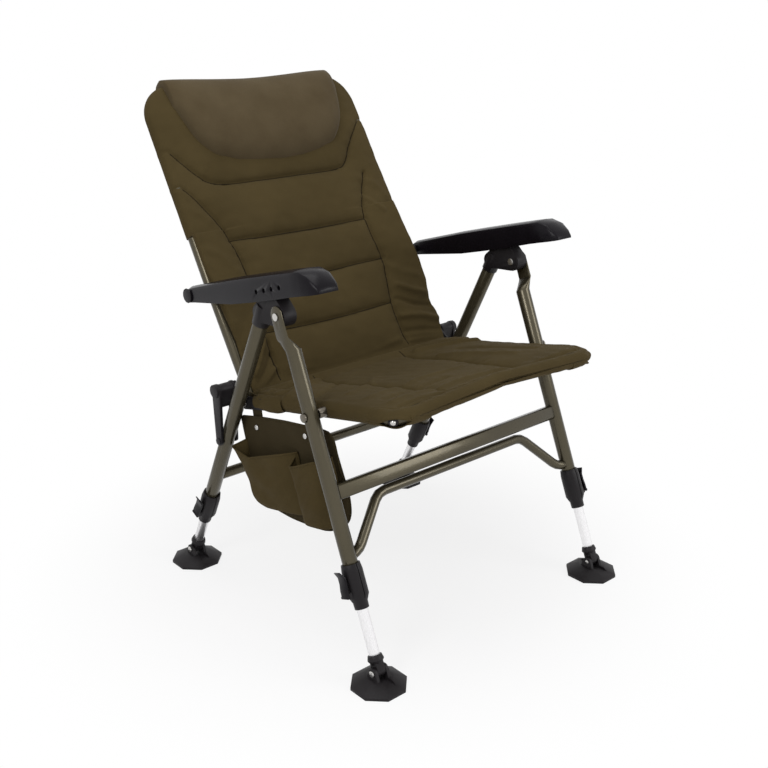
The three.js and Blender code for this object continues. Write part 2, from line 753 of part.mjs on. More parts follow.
function seatPad() {
  const fullHalfWidth = seatTubeCentre + seatEdge;
  const roundStart = -seatBarAhead;
  const stations = seatStationShares.map((share) => roundStart - seatEdge * share);
  for (const middle of seatGroovePlaces) {
    stations.push(middle - grooveHalfWidth, middle, middle + grooveHalfWidth);
  }
  stations.push(seatPadEnd - grooveHalfWidth, seatPadEnd);
  const rings = stations.map((y) => {
    const into = Math.min(1, Math.max(0, roundStart - y) / seatEdge);
    const plump = Math.sqrt(1 - into * into);
    const bend = seatBarAhead + seatEdge - seatBendStart;
    const ahead = THREE.MathUtils.clamp((-y - seatBendStart) / bend, 0, 1);
    const halfWidth = THREE.MathUtils.lerp(fullHalfWidth, seatFrontHalfWidth, ahead);
    const sag = (share) => seatSag * (1 - share * share) * (1 - ahead) + seatGrooveDepth
      * groove(y, seatGroovePlaces, grooveHalfWidth) * (1 - share ** 4);
    const front = (x, share) => seatRise(x, y) + plump * (seatEdge - sag(share));
    const behind = (x, share) => THREE.MathUtils.lerp(
      front(x, share) - plump * (seatThickness + (seatEdge * ahead)),
      seatRise(x, y) - plump * seatEdge, share ** 4);
    return padRing(halfWidth, seatEdge, plump, front, behind).map(([x, z]) => [x, y, z]);
  });
  const frameRoom = bentTube(seatFrameCorners(), seatTubeBend, seatTubeRadius + gap);
  const boltRooms = sides.map(([, side]) =>
    crossRod(spacerRadius + 2 * gap, side * seatTubeCentre, side * (fullHalfWidth + overrun), 0, 0));
  const sleeveRooms = sides.map(([, side]) => lengthRod(
    seatEdge + sleeveWall, seatTubeEnd - sleeveLength - gap, seatTubeEnd + overrun,
    side * seatTubeCentre, 0));
  return cut(loft(rings), frameRoom, ...boltRooms, ...sleeveRooms);
}

// Hinge brackets: a sleeve on the seat tube's end and an outboard plate out to the hinge and the knee
const sleeveLength = 24;
const sleeveWall = 0.8;
const sleevePastTube = 4;
const plateTailRadius = 10;
const plateWebShare = 0.9;
const plateHingeRadius = 13;
const plateKneeRadius = 11;
const hingeCollarRadius = 9;
const hingeHeadHeight = 1.8;

function lengthRod(radius, fromY, toY, x, z, count = 16) {
  const geometry = new THREE.CylinderGeometry(radius, radius, toY - fromY, count);
  geometry.translate(x, (fromY + toY) / 2, z);
  return solidOf(geometry);
}

function hingeBracket(side) {
  const outer = side * (hingePlateInner + plateThickness);
  const inner = side * hingePlateInner;
  const tail = seatTubeEnd - sleeveLength / 2;
  const [kneeY, kneeZ] = [seatPivotToHinge + kneeBehindHinge, kneeAboveHinge];
  const hinge = [seatPivotToHinge, 0, plateHingeRadius];
  const arm = plate(bandRound([[tail, 0, plateTailRadius], hinge]), inner, outer);
  const ear = plate(bandRound([hinge, [kneeY, kneeZ, plateKneeRadius]]), inner, outer);
  const start = seatTubeEnd - sleeveLength;
  const end = seatTubeEnd + sleevePastTube;
  const sleeve = lengthRod(seatEdge + sleeveWall / 2, start, end, side * seatTubeCentre, 0);
  const web = block(
    side * (seatTubeCentre + seatTubeRadius / 2), side * (hingePlateInner + plateThickness / 2),
    start, end, -plateTailRadius * plateWebShare, plateTailRadius * plateWebShare);
  const tubeRoom = lengthRod(seatTubeRadius + gap, start - overrun, seatTubeEnd + gap,
    side * seatTubeCentre, 0);
  const hole = crossRod(shankRadius + pinGap, side * seatTubeCentre, side * (seatTubeCentre + overrun),
    seatPivotToHinge, 0);
  return cut(joined(arm, ear, sleeve, web), tubeRoom, hole);
}

function hingePin(side) {
  const rod = (radius, from, to) => crossRod(radius, side * from, side * to, 0, 0);
  const head = hingePlateInner + plateThickness + gap;
  return joined(
    rod(shankRadius, backTubeCentre - shankPastTube, head + hingeHeadHeight / 2),
    rod(hingeCollarRadius, backTubeCentre + backTubeRadius + gap, hingePlateInner - gap),
    rod(hingeCollarRadius, head, head + hingeHeadHeight));
}

add(seat, 'seat_frame', seatFrame(), paint);
add(seat, 'seat_pad', seatPad(), canvas);
for (const [word, side] of sides) {
  add(seat, `hinge_bracket_${word}`, hingeBracket(side), blackPlastic);
  add(back, `hinge_pin_${word}`, hingePin(side), brightSteel);
}

// Back: an arched tube with its padded sling, and the headrest pillow over the top
const backTubeBelowHinge = 13;
const backTubeTop = 635;
const backTubeTopCentre = 244;
const backTaperStart = 250;
const backTubeBend = 55;
const backEdge = backTubeRadius + clothThickness;
const backPadStart = 40;
const backFront = 16;
const backPuff = 7;
const backGroovePlaces = [115, 215, 309, 430];
const backGrooveHalf = 16;
const backRoundShares = [0, 0.6, 0.9, 0.997];
const backPanelShare = 0.71;
const backHollowShare = 0.5;
const sleeveEnd = 335;
const sleeveEndFade = 8;
const lowerEdgeThin = 2.5;
const lowerEdgeFull = 7;
const lowerEdges = [[0, lowerEdgeThin], [0.42 * backTaperStart, lowerEdgeThin],
  [0.6 * backTaperStart, lowerEdgeFull], [sleeveEnd, lowerEdgeFull]];
const lowerOutlineShares = [
  [0, 1.008], [0.42, 1.004], [0.6, 1.028], [0.8, 1.04], [1.16, 1.048], [1.34, 1.048],
];
const lowerOutline = lowerOutlineShares.map(([up, out]) => [up * backTaperStart, out * backTubeCentre]);

function backFrameCorners() {
  const c = backTubeCentre;
  const t = backTubeTopCentre;
  return [[c, 0, -backTubeBelowHinge], [c, 0, backTaperStart], [t, 0, backTubeTop],
    [-t, 0, backTubeTop], [-c, 0, backTaperStart], [-c, 0, -backTubeBelowHinge]];
}

function backTubeAt(z) {
  const up = THREE.MathUtils.clamp((z - backTaperStart) / (backTubeTop - backTaperStart), 0, 1);
  return THREE.MathUtils.lerp(backTubeCentre, backTubeTopCentre, up);
}

function alongTable(table, at) {
  const next = Math.max(1, table.findIndex(([place]) => place >= at));
  const last = at > table.at(-1)[0] ? table.length - 1 : next;
  const [[from, a], [to, b]] = [table[last - 1], table[last]];
  return THREE.MathUtils.lerp(a, b, THREE.MathUtils.clamp((at - from) / (to - from), 0, 1));
}

function backFrame() {
  const reach = backTubeCentre + overrun;
  const hole = (z) => crossRod(shankRadius + pinGap, -reach, reach, 0, z);
  const tube = openTube(backFrameCorners(), backTubeBend, backTubeRadius, frameWall);
  return cut(tube, hole(0), hole(armPivotUpBack));
}

// The pad is a sleeve over the tube down to the sleeve's end, and lies in front of the tube below it
function backPadBody(grown) {
  const bendMiddle = backTubeTop - backTubeBend;
  const stations = [backPadStart - grown, backPadStart + backGrooveHalf];
  const sleeved = (z) => THREE.MathUtils.clamp((z - sleeveEnd) / sleeveEndFade, 0, 1);
  for (const middle of backGroovePlaces) {
    stations.push(middle - backGrooveHalf, middle, middle + backGrooveHalf);
  }
  stations.push(sleeveEnd, sleeveEnd + sleeveEndFade);
  stations.push(bendMiddle - backGrooveHalf, backTubeTop - 2 * backEdge, backTubeTop - backEdge);
  stations.push(...backRoundShares.map((share) => backTubeTop + (backEdge + grown) * share));
  stations.sort((a, b) => a - b);
  const rings = stations.map((z) => {
    const wrapped = sleeved(z);
    const lowerEdge = alongTable(lowerEdges, z);
    const edge = THREE.MathUtils.lerp(lowerEdge, backEdge, wrapped) + grown;
    const above = Math.max(0, z - bendMiddle);
    const reach = Math.sqrt(Math.max(0, (backTubeBend + edge) ** 2 - above * above));
    const freeHalf = alongTable(lowerOutline, z);
    const halfWidth = THREE.MathUtils.lerp(freeHalf, backTubeAt(z) - backTubeBend + reach, wrapped);
    const into = Math.min(1, Math.max(0, z - backTubeTop) / edge);
    const plump = Math.sqrt(1 - into * into);
    const lowerRear = backTubeRadius + gap;
    const frontEdge = THREE.MathUtils.lerp(lowerRear + 2 * lowerEdge, backEdge, wrapped);
    const front = (x, share) => {
      const seam = Math.max(groove(z, backGroovePlaces, backGrooveHalf) * (share < backPanelShare ? 1 : 0),
        groove(share, [backPanelShare], 0.12));
      const panel = backFront + backPuff * (1 - seam);
      return plump * (THREE.MathUtils.lerp(panel, frontEdge, share ** 6) + grown);
    };
    const wrap = THREE.MathUtils.clamp((z - backTubeTop) / backEdge + 2, 0, 1);
    const hollow = THREE.MathUtils.lerp(backHollowShare, 1, wrap);
    const rearEdge = THREE.MathUtils.lerp(-lowerRear, backEdge, wrapped);
    const behind = (x, share) => -plump * (THREE.MathUtils.lerp(backEdge * hollow, rearEdge,
      THREE.MathUtils.lerp(share ** 12, share ** 4, wrapped)) + grown);
    return padRing(halfWidth, edge, plump, front, behind).map(([x, t]) => [x, -t, z]);
  });
  return loft(rings);
}

function backPad() {
  const frameRoom = bentTube(backFrameCorners(), backTubeBend, backTubeRadius + gap);
  const outer = backTubeCentre + overrun;
  const sleeveRooms = sides.map(([, side]) =>
    crossRod(spacerRadius + 2 * gap, side * backTubeCentre, side * outer, 0, armPivotUpBack));
  return cut(backPadBody(0), frameRoom, ...sleeveRooms);
}

// Pillow: the bottom edge curves up to the sides, and a flap goes over the back's top
const pillowHalfWidth = 207;
const pillowTop = 662;
const pillowBottom = 466;
const pillowFront = 53;
const pillowFlapDepth = 21;
const pillowFlapEnd = 618;
const pillowFlapTurnShares = [0.7, 0.2];
const pillowFlapLowShare = 0.6;
const pillowHeelShare = 0.1;
const pillowStationShares = [0, 0.3, 0.58, 0.8, 0.93, 1];
const pillowRiseShares = [0, 0.02, 0.07, 0.2, 0.4, 0.62];
const pillowPlumpShares = [1, 1, 0.97, 0.88, 0.68, 0.4];
const pillowProfileShares = [
  [0, 0.02], [0.03, 0.4], [0.14, 0.8], [0.36, 1], [0.62, 0.98], [0.84, 0.76], [0.96, 0.4], [1, 0],
];

function pillow() {
  const ring = (x, rise, plump) => {
    const bottom = THREE.MathUtils.lerp(pillowBottom, pillowTop, rise);
    const height = pillowTop - bottom;
    const depth = backFront + (pillowFront - backFront) * plump;
    const dots = pillowProfileShares.map(([up, out]) => [x, -depth * out, bottom + height * up]);
    const [far, near] = pillowFlapTurnShares;
    dots.push([x, pillowFlapDepth * far, pillowTop - pillowFlapDepth * near]);
    dots.push([x, pillowFlapDepth, pillowTop - pillowFlapDepth * far]);
    dots.push([x, pillowFlapDepth, Math.max(pillowFlapEnd, bottom + height * pillowFlapLowShare)]);
    dots.push([x, 0, bottom + height * pillowHeelShare]);
    return dots;
  };
  const half = pillowStationShares.map((share, i) =>
    ring(pillowHalfWidth * share, pillowRiseShares[i], pillowPlumpShares[i]));
  const mirrored = half.slice(1).map((dots) => dots.map(([x, y, z]) => [-x, y, z])).reverse();
  return cut(loft([...mirrored, ...half]), backPadBody(gap));
}

add(back, 'back_frame', backFrame(), paint);
add(back, 'back_pad', backPad(), canvas);
add(back, 'headrest_pillow', pillow(), fleece);

// Cloth wedge that fills the angle between the seat pad's rear end and the back pad's lower end
const wedgeHalfWidth = 228;
const wedgeDepth = 20;
const wedgeStartShare = 0.8;
const wedgeValleyShares = [0.55, 0.7];
const wedgeRiseShare = 0.55;
const wedgeRearShare = 0.4;
const wedgeHeelShare = 0.6;

function seatBackWedge() {
  const start = seatPadEnd + gap;
  const lean = backLean - seatTilt;
  const upBack = (out, up) => {
    const [y, z] = turn([out, up], lean);
    return [seatPivotToHinge + y, z];
  };
  const run = seatPivotToHinge - start;
  const [valleyAlong, valleyUp] = wedgeValleyShares;
  const outline = [
    [start, seatEdge * wedgeStartShare],
    [start + run * valleyAlong, seatEdge * valleyUp],
    upBack(-backFront, backPadStart * wedgeRiseShare),
    upBack(-backFront, backPadStart - 2 * gap),
    upBack(backEdge * wedgeRearShare, backPadStart - 2 * gap),
    upBack(backEdge * wedgeRearShare, 0),
    [start + run * wedgeHeelShare, seatEdge - wedgeDepth],
    [start, seatEdge * wedgeStartShare - wedgeDepth],
  ];
  return plate(outline, -wedgeHalfWidth, wedgeHalfWidth);
}

add(seat, 'seat_back_wedge', seatBackWedge(), canvas);

// Armrests: a tapered moulded channel, open below, with a pivot boss behind, side holes and a notched rack
const armrestLength = 421;
const armrestDepth = 38;
const armrestWidth = 55;
const armrestWall = 3;
const armrestCorner = 8;
const armrestCrown = 1.6;
const armrestCornerShare = 0.3;
const armrestBoss = 17;
const armrestNoseWall = 9;
const armHoleRadius = 4.4;
const armHoleRise = 7;
const armHoleSlope = 0.085;
const notchPitch = 24.5;
const notchRadius = 5;
const rackInner = 15.8;
const rackCrest = 1;
const rackRootShare = 0.8;
const rackEndMargin = 12;
const armrestStationShares = [
  [-0.031, 0.13, -0.13, 0.41],
  [-0.021, 0.29, -0.29, 0.45],
  [0, 0.38, -0.355, 0.47],
  [0.05, 0.43, -0.355, 0.49],
  [0.24, 0.6, -0.41, 0.6],
  [0.36, 0.71, -0.44, 0.68],
  [0.535, 0.82, -0.355, 0.8],
  [0.71, 0.915, -0.24, 0.9],
  [0.84, 0.975, -0.13, 0.97],
  [0.9, 0.99, -0.1, 1],
  [0.95, 0.76, -0.085, 0.96],
  [0.985, 0.37, -0.07, 0.84],
  [1, 0.1, -0.06, 0.7],
];

function armrestRing(x, y, half, top, bottom, corner, crown) {
  const c = Math.min(corner, (top - bottom) / 3);
  const d = c * armrestCornerShare;
  return [
    [x - half, y, bottom],
    [x - half, y, top - c],
    [x - half + d, y, top - d],
    [x - half + c, y, top],
    [x, y, top + crown],
    [x + half - c, y, top],
    [x + half - d, y, top - d],
    [x + half, y, top - c],
    [x + half, y, bottom],
  ];
}

function armrestStation(share) {
  const next = Math.max(1, armrestStationShares.findIndex(([along]) => along >= share));
  const [before, after] = [armrestStationShares[next - 1], armrestStationShares[next]];
  const t = (share - before[0]) / (after[0] - before[0]);
  return before.map((value, i) => THREE.MathUtils.lerp(value, after[i], t));
}

function armrest(side) {
  const x = side * legCentre;
  const skin = ([along, top, bottom, width], thinner, drop) => armrestRing(x, -along * armrestLength,
    width * armrestWidth / 2 - thinner, top * armrestDepth - thinner, bottom * armrestDepth - drop,
    armrestCorner, armrestCrown);
  const outside = loft(armrestStationShares.map((station) => skin(station, 0, 0)));
  const from = armrestBoss / armrestLength;
  const to = 1 - armrestNoseWall / armrestLength;
  const inside = armrestStationShares.filter(([along]) => along > from && along < to);
  const hollow = loft([armrestStation(from), ...inside, armrestStation(to)]
    .map((station) => skin(station, armrestWall, overrun)));
  const pivotHole = crossRod(shankRadius + pinGap, x - overrun, x + overrun, 0, 0);
  const holes = [-1, 0, 1, 2].map((step) => {
    const along = ratchetPinAhead + step * notchPitch;
    return crossRod(armHoleRadius, x + side * rackInner / 2, x + side * overrun,
      -along, armHoleRise + armHoleSlope * step * notchPitch);
  });
  const shell = cut(outside, hollow);
  const bars = joined(rack(x - overrun, x - rackInner), rack(x + rackInner, x + overrun));
  const racks = bars.intersect(outside);
  return cut(joined(shell, racks), pivotHole, ...holes);
}

function rack(fromX, toX) {
  const crest = shankRadius - ratchetPinBelow + rackCrest;
  const start = ratchetPinAhead - notchPitch - rackEndMargin;
  const end = ratchetPinAhead + 2 * notchPitch + rackEndMargin;
  const root = armrestDepth * rackRootShare;
  const bar = plate([[-start, crest], [-end, crest], [-end, root], [-start, root]], fromX, toX);
  const notches = [-1, 0, 1, 2].map((step) =>
    crossRod(notchRadius, fromX - overrun, toX + overrun, -(ratchetPinAhead + step * notchPitch), crest));
  return cut(bar, ...notches);
}

// Armrest pivots: a steel shank through the back tube, a sleeve and a round black cap outboard
const armCapRadius = 14;
const armCapHeight = 3.2;
const armSleeveRadius = 8.5;

function armPivot(side) {
  const rearHalf = armrestStationShares[2][3] * armrestWidth / 2;
  const capInner = legCentre + rearHalf + 2 * gap;
  const sleeveOuter = legCentre - rearHalf - 2 * gap;
  const rod = (radius, from, to) => crossRod(radius, side * from, side * to, 0, 0);
  return joined(
    rod(shankRadius, backTubeCentre - shankPastTube, capInner + armCapHeight / 2),
    rod(armSleeveRadius, backTubeCentre + backTubeRadius + gap, sleeveOuter),
    rod(armCapRadius, capInner, capInner + armCapHeight));
}

for (const [word, side] of sides) {
  add(armrests, `armrest_${word}`, armrest(side), armPlastic);
  add(armrests, `arm_pivot_${word}`, armPivot(side), blackPlastic);
}

// Rear links: a moulded fork astride the rear leg, riveted to it below, at the hinge plate's knee above
const linkDy = knee[0] - linkPivot[0];
const linkDz = knee[1] - linkPivot[1];
const linkLength = Math.hypot(linkDy, linkDz);
const links = sidePlane(...linkPivot, Math.atan2(-linkDy, linkDz));
const linkFootRadius = 9;
const linkKneeRadius = 13;
const linkOuterThickness = 5.6;
const linkBridgeStart = 74;
const linkBridgeRadius = 8;
const linkBridgeInset = 1.5;
const linkSink = 5;
const rivetSink = 2;
const linkKnobHeight = 4.5;
const linkInnerThickness = 4.5;

function rearLink(side) {
  const rod = (radius, from, to, z) => crossRod(radius, side * from, side * to, 0, z);
  const arm = bandRound([[0, 0, linkFootRadius], [0, linkLength, linkKneeRadius]]);
  const innerEnd = legCentre - legRadius - gap;
  const innerStart = innerEnd - linkInnerThickness;
  const outerStart = legCentre + legRadius + gap;
  const outerEnd = outerStart + linkOuterThickness;
  const bridge = bandRound([[linkBridgeRadius / 4, linkBridgeStart, linkBridgeRadius],
    [0, linkLength, linkKneeRadius - linkBridgeInset]]);
  return joined(
    plate(arm, side * innerStart, side * innerEnd),
    plate(arm, side * outerStart, side * outerEnd),
    plate(bridge, side * innerStart, side * outerEnd),
    rod(linkKneeRadius, outerEnd - linkSink, outerEnd + linkKnobHeight, linkLength),
    rod(linkFootRadius, hingePlateInner + plateThickness + gap, innerStart + linkSink, linkLength),
    rod(shankRadius, innerStart, outerEnd + rivetHeadHeight / 2, 0),
    rod(rivetHeadRadius, outerEnd - rivetSink, outerEnd + rivetHeadHeight, 0));
}

for (const [word, side] of sides) add(links, `rear_link_${word}`, rearLink(side), blackPlastic);

// Side pocket on the sitter's right: a hanging panel, its two compartments, and two straps up to the frame
const pocketWidth = 300;
const pocketDepth = 210;
const pocketRearY = 265.8;
const pocketFloor = 209;
const pocketInner = 266.9;
const pocketCloth = 2.7;
const pocketBulge = 30;
const pocketPanelShares = [
  [1, 0.452], [0.977, 0.748], [0.747, 0.814], [0.298, 0.952], [0.07, 1], [0.017, 0.929], [0, 0.643],
  [0, 0.29], [0.02, 0.148], [0.067, 0.062], [0.28, 0.014], [0.677, 0], [0.753, 0], [0.91, 0.243],
];
const pocketBagShares = [
  [0.187, 0.648], [0.31, 0.681], [0.85, 0.395], [0.887, 0.252], [0.747, 0.024], [0.28, 0.038], [0.06, 0.148],
  [0.08, 0.362],
];
const pocketLayerShares = [[0, 1], [0.55, 0.97], [0.9, 0.82], [1, 0.62]];

function inPocket([along, up]) {
  return [pocketRearY - pocketWidth * (1 - along), pocketFloor + pocketDepth * up];
}

function pocket() {
  const panel = plate(pocketPanelShares.map(inPocket), -pocketInner, -(pocketInner + pocketCloth));
  const bag = pocketBagShares.map(inPocket);
  const middle = [0, 1].map((k) => bag.reduce((sum, dot) => sum + dot[k], 0) / bag.length);
  const layers = pocketLayerShares.map(([out, size]) => bag.map(([y, z]) => [
    -(pocketInner + pocketCloth / 2 + pocketBulge * out),
    middle[0] + (y - middle[0]) * size,
    middle[1] + (z - middle[1]) * size,
  ]));
  return joined(panel, loft(layers));
}

const strapWidth = 30;
const strapThickness = 1.6;
const strapRearY = 222;
const strapRearBottom = 350;
const strapHookTop = 424;
const strapFrontY = 13.8;
const strapFrontBottom = 386;
const strapFrontTop = 447;

function rearStrap() {
  const low = strapRearY - strapWidth;
  const outer = hingePlateInner + plateThickness + gap + strapThickness;
  const inner = seatTubeCentre + seatEdge + gap;
  const top = strapHookTop;
  return joined(
    block(-outer, -(outer - strapThickness), low, strapRearY, strapRearBottom, top),
    block(-outer, -inner, low, strapRearY, top - strapThickness, top),
    block(-(inner + strapThickness), -inner, low, strapRearY, top - strapWidth, top));
}

function frontStrap() {
  const inner = seatTubeCentre + seatEdge + gap;
  return block(-(pocketInner - gap), -inner, strapFrontY, strapFrontY + strapWidth,
    strapFrontBottom, strapFrontTop);
}

const pocketPlane = sidePlane(0, 0, 0);
add(pocketPlane, 'side_pocket', pocket(), canvas);
add(pocketPlane, 'pocket_strap_rear', rearStrap(), canvas);
add(pocketPlane, 'pocket_strap_front', frontStrap(), canvas);

// The origin is on the ground under the middle of the chair's box
const bounds = new THREE.Box3().setFromObject(chair, true);
chair.position.y = -(bounds.min.y + bounds.max.y) / 2;

export default chair;
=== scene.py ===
# Carp fishing chair: padding, cloth, finishes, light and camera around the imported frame.
# The chair faces -Y and the sitter's right side is at -X. Blender's lengths are metres; the named sizes and
# tables of the padding are in mm.
import json
import math

import bmesh
import bpy
import numpy as np
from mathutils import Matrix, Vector


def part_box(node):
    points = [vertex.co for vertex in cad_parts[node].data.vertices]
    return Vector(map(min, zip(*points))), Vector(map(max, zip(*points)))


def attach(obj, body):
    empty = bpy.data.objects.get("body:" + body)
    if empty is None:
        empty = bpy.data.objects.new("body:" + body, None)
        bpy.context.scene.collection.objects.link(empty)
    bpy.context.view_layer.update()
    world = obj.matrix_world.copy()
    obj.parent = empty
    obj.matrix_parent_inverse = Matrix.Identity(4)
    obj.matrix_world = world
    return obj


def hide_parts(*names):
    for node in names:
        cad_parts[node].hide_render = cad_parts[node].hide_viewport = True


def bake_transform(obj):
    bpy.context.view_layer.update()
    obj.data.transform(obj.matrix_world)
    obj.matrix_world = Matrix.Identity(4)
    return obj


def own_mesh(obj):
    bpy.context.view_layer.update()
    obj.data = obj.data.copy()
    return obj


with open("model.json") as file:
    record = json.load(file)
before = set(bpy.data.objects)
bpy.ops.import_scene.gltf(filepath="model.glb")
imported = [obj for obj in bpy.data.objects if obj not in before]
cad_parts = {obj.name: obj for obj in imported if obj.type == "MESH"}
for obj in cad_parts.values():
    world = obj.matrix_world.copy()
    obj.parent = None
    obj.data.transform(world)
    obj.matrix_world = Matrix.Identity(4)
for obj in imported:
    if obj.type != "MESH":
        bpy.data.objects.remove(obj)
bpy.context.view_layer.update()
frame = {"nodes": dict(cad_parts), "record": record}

MM = 0.001
X_AXIS = np.array([1.0, 0.0, 0.0])


# Planes of the side view, from the frame's joints
class Plane:
    """A plane that holds the x axis: a point is x, a way up the plane and a height out of it, in mm."""

    def __init__(self, start, toward):
        self.origin = np.array([0.0, start[1], start[2]])
        self.up = np.array([0.0, toward[1] - start[1], toward[2] - start[2]])
        self.up /= np.linalg.norm(self.up)
        self.out = np.array([0.0, -self.up[2], self.up[1]])

    def at(self, x, up, out):
        x, up, out = np.broadcast_arrays(np.asarray(x, float), up, out)
        place = np.stack([x, up, out], axis=-1) * MM
        return self.origin + place @ np.stack([X_AXIS, self.up, self.out])


joint_at = {joint["name"]: np.array(joint["pos_m"]) for joint in frame["record"]["behaviour"]["joints"]
            if "pos_m" in joint}
seat_plane = Plane(joint_at["fold"], joint_at["recline"])
back_plane = Plane(joint_at["recline"], joint_at["arm_fold"])


# Small mathematics
def smooth(t):
    t = np.clip(t, 0, 1)
    return t * t * (3 - 2 * t)


def ease(value, start, run):
    """A soft step from 0 to 1 that begins at start and takes run."""
    return smooth((value - start) / run)


def blend_between(a, b, t):
    return a + (b - a) * t


def table_at(table, value):
    places, values = zip(*table)
    return np.interp(value, places, values)


RIPPLE_WAVES = 5
RIPPLE_LENGTHS = (0.7, 1.5)
RIPPLE_HEIGHT = 1.4


def ripple(a, b, wave, seed):
    """Slow, repeatable noise over two coordinates, about -1 to 1."""
    own = np.random.default_rng(seed)
    total = np.zeros(np.broadcast(a, b).shape)
    for _ in range(RIPPLE_WAVES):
        turn, phase = own.uniform(0, 2 * math.pi, 2)
        length = wave * own.uniform(*RIPPLE_LENGTHS)
        total += np.sin(2 * math.pi * (a * math.cos(turn) + b * math.sin(turn)) / length + phase)
    return total / RIPPLE_WAVES * RIPPLE_HEIGHT


def near_line(a, b, line):
    """Distance to a polyline and the way along it, for every point (a, b)."""
    best = np.full(a.shape, 1e9)
    along = np.zeros(a.shape)
    run = 0.0
    for (a0, b0), (a1, b1) in zip(line, line[1:]):
        da, db = a1 - a0, b1 - b0
        length = math.hypot(da, db)
        t = np.clip(((a - a0) * da + (b - b0) * db) / length ** 2, 0, 1)
        gone = np.hypot(a - a0 - t * da, b - b0 - t * db)
        closer = gone < best
        best = np.where(closer, gone, best)
        along = np.where(closer, run + t * length, along)
        run += length
    return best, along


def rounded_line(line):
    """A polyline of any dimension turned into a soft curve, by cutting its corners twice."""
    dots = np.array(line, float)
    for _ in range(2):
        q = 0.75 * dots[:-1] + 0.25 * dots[1:]
        r = 0.25 * dots[:-1] + 0.75 * dots[1:]
        dots = np.vstack([dots[:1], np.stack([q, r], axis=1).reshape(-1, dots.shape[1]), dots[-1:]])
    return [tuple(dot) for dot in dots]


def even_line(line, count=None, step=None):
    """Evenly spaced points along a polyline of any dimension, by their count or by their spacing."""
    dots = np.array(line, float)
    run = np.concatenate([[0], np.cumsum(np.linalg.norm(np.diff(dots, axis=0), axis=1))])
    at = np.linspace(0, run[-1], count or max(3, int(run[-1] / step)))
    return np.stack([np.interp(at, run, dots[:, k]) for k in range(dots.shape[1])], axis=1)


def soft_table(table, value):
    """A table read as a smooth curve, with slopes taken from its neighbours."""
    places, values = np.array(table, float).T
    slopes = np.gradient(values, places)
    i = int(np.clip(np.searchsorted(places, value) - 1, 0, len(places) - 2))
    width = places[i + 1] - places[i]
    t = np.clip((value - places[i]) / width, 0, 1)
    from_here = (2 * t ** 3 - 3 * t ** 2 + 1) * values[i] + (t ** 3 - 2 * t ** 2 + t) * width * slopes[i]
    to_next = (-2 * t ** 3 + 3 * t ** 2) * values[i + 1]
    return float(from_here + to_next + (t ** 3 - t ** 2) * width * slopes[i + 1])


CURVE_STEPS = 4


def closed_curve(dots):
    """A closed loop of points turned into a smooth curve through them, by a Catmull-Rom spline."""
    loop = []
    for k in range(len(dots)):
        p0, p1, p2, p3 = (dots[(k + n) % len(dots)] for n in (-1, 0, 1, 2))
        for t in np.arange(CURVE_STEPS) / CURVE_STEPS:
            loop.append(0.5 * (2 * p1 + (p2 - p0) * t + (2 * p0 - 5 * p1 + 4 * p2 - p3) * t ** 2
                        + (3 * p1 - p0 - 3 * p2 + p3) * t ** 3))
    return np.array(loop)


QUILT_CELL = 4.0
QUILT_ROUNDS = 900
QUILT_FULL = 45.0
QUILT_SEAM = 0.55


class Quilt:
    """The height of padding held down along seams: a stretched skin under pressure, solved on a raster."""

    def __init__(self, low, high, inside, seams):
        self.low = np.array(low, float)
        a, b = (np.arange(low[k], high[k] + QUILT_CELL, QUILT_CELL) for k in range(2))
        self.shape = (len(a), len(b))
        grid_a, grid_b = np.meshgrid(a, b, indexing="ij")
        free = inside(grid_a, grid_b)
        for line in seams:
            free &= near_line(grid_a, grid_b, line)[0] > QUILT_SEAM * QUILT_CELL
        h = np.zeros(self.shape)
        for _ in range(QUILT_ROUNDS):
            inner = 0.25 * (h[:-2, 1:-1] + h[2:, 1:-1] + h[1:-1, :-2] + h[1:-1, 2:] + 1.0)
            h[1:-1, 1:-1] = np.where(free[1:-1, 1:-1], inner, 0.0)
        self.height = 1 - np.exp(-h / QUILT_FULL)

    def at(self, a, b):
        u = np.clip((a - self.low[0]) / QUILT_CELL, 0, self.shape[0] - 1.001)
        w = np.clip((b - self.low[1]) / QUILT_CELL, 0, self.shape[1] - 1.001)
        i, j = u.astype(int), w.astype(int)
        u, w = u - i, w - j
        h = self.height
        return ((1 - u) * (1 - w) * h[i, j] + u * (1 - w) * h[i + 1, j]
                + (1 - u) * w * h[i, j + 1] + u * w * h[i + 1, j + 1])


# Meshes
def linked(name, data):
    made = bpy.data.objects.new(name, data)
    bpy.context.scene.collection.objects.link(made)
    return made


def mesh_object(name, points, faces):
    mesh = bpy.data.meshes.new(name)
    mesh.from_pydata([tuple(p) for p in np.asarray(points, float).reshape(-1, 3)], [], faces)
    mesh.validate()
    mesh.update()
    mesh.polygons.foreach_set("use_smooth", [True] * len(mesh.polygons))
    return linked(name, mesh)


def quads(index):
    """The faces between the neighbouring rows and columns of a grid of point numbers."""
    corners = (index[:-1, :-1], index[:-1, 1:], index[1:, 1:], index[1:, :-1])
    return np.stack(corners, axis=2).reshape(-1, 4).tolist()


def lofted(name, rings):
    """A closed skin over rings of points, each ring running round, with fans over both ends."""
    rings = np.asarray(rings, float)
    index = np.arange(rings.size // 3).reshape(rings.shape[:2])
    first, last = index.size, index.size + 1
    index = np.hstack([index, index[:, :1]])
    faces = quads(index)
    points = np.vstack([rings.reshape(-1, 3), rings[0].mean(axis=0), rings[-1].mean(axis=0)])
    for k in range(rings.shape[1]):
        faces += [(first, index[0, k + 1], index[0, k]), (last, index[-1, k], index[-1, k + 1])]
    return faced_out(mesh_object(name, points, faces))


def faced_out(piece):
    """Turns the faces outward, by the sign of the closed mesh's volume."""
    bm = bmesh.new()
    bm.from_mesh(piece.data)
    if bm.calc_volume(signed=True) < 0:
        bmesh.ops.reverse_faces(bm, faces=bm.faces)
    bm.to_mesh(piece.data)
    bm.free()
    return piece


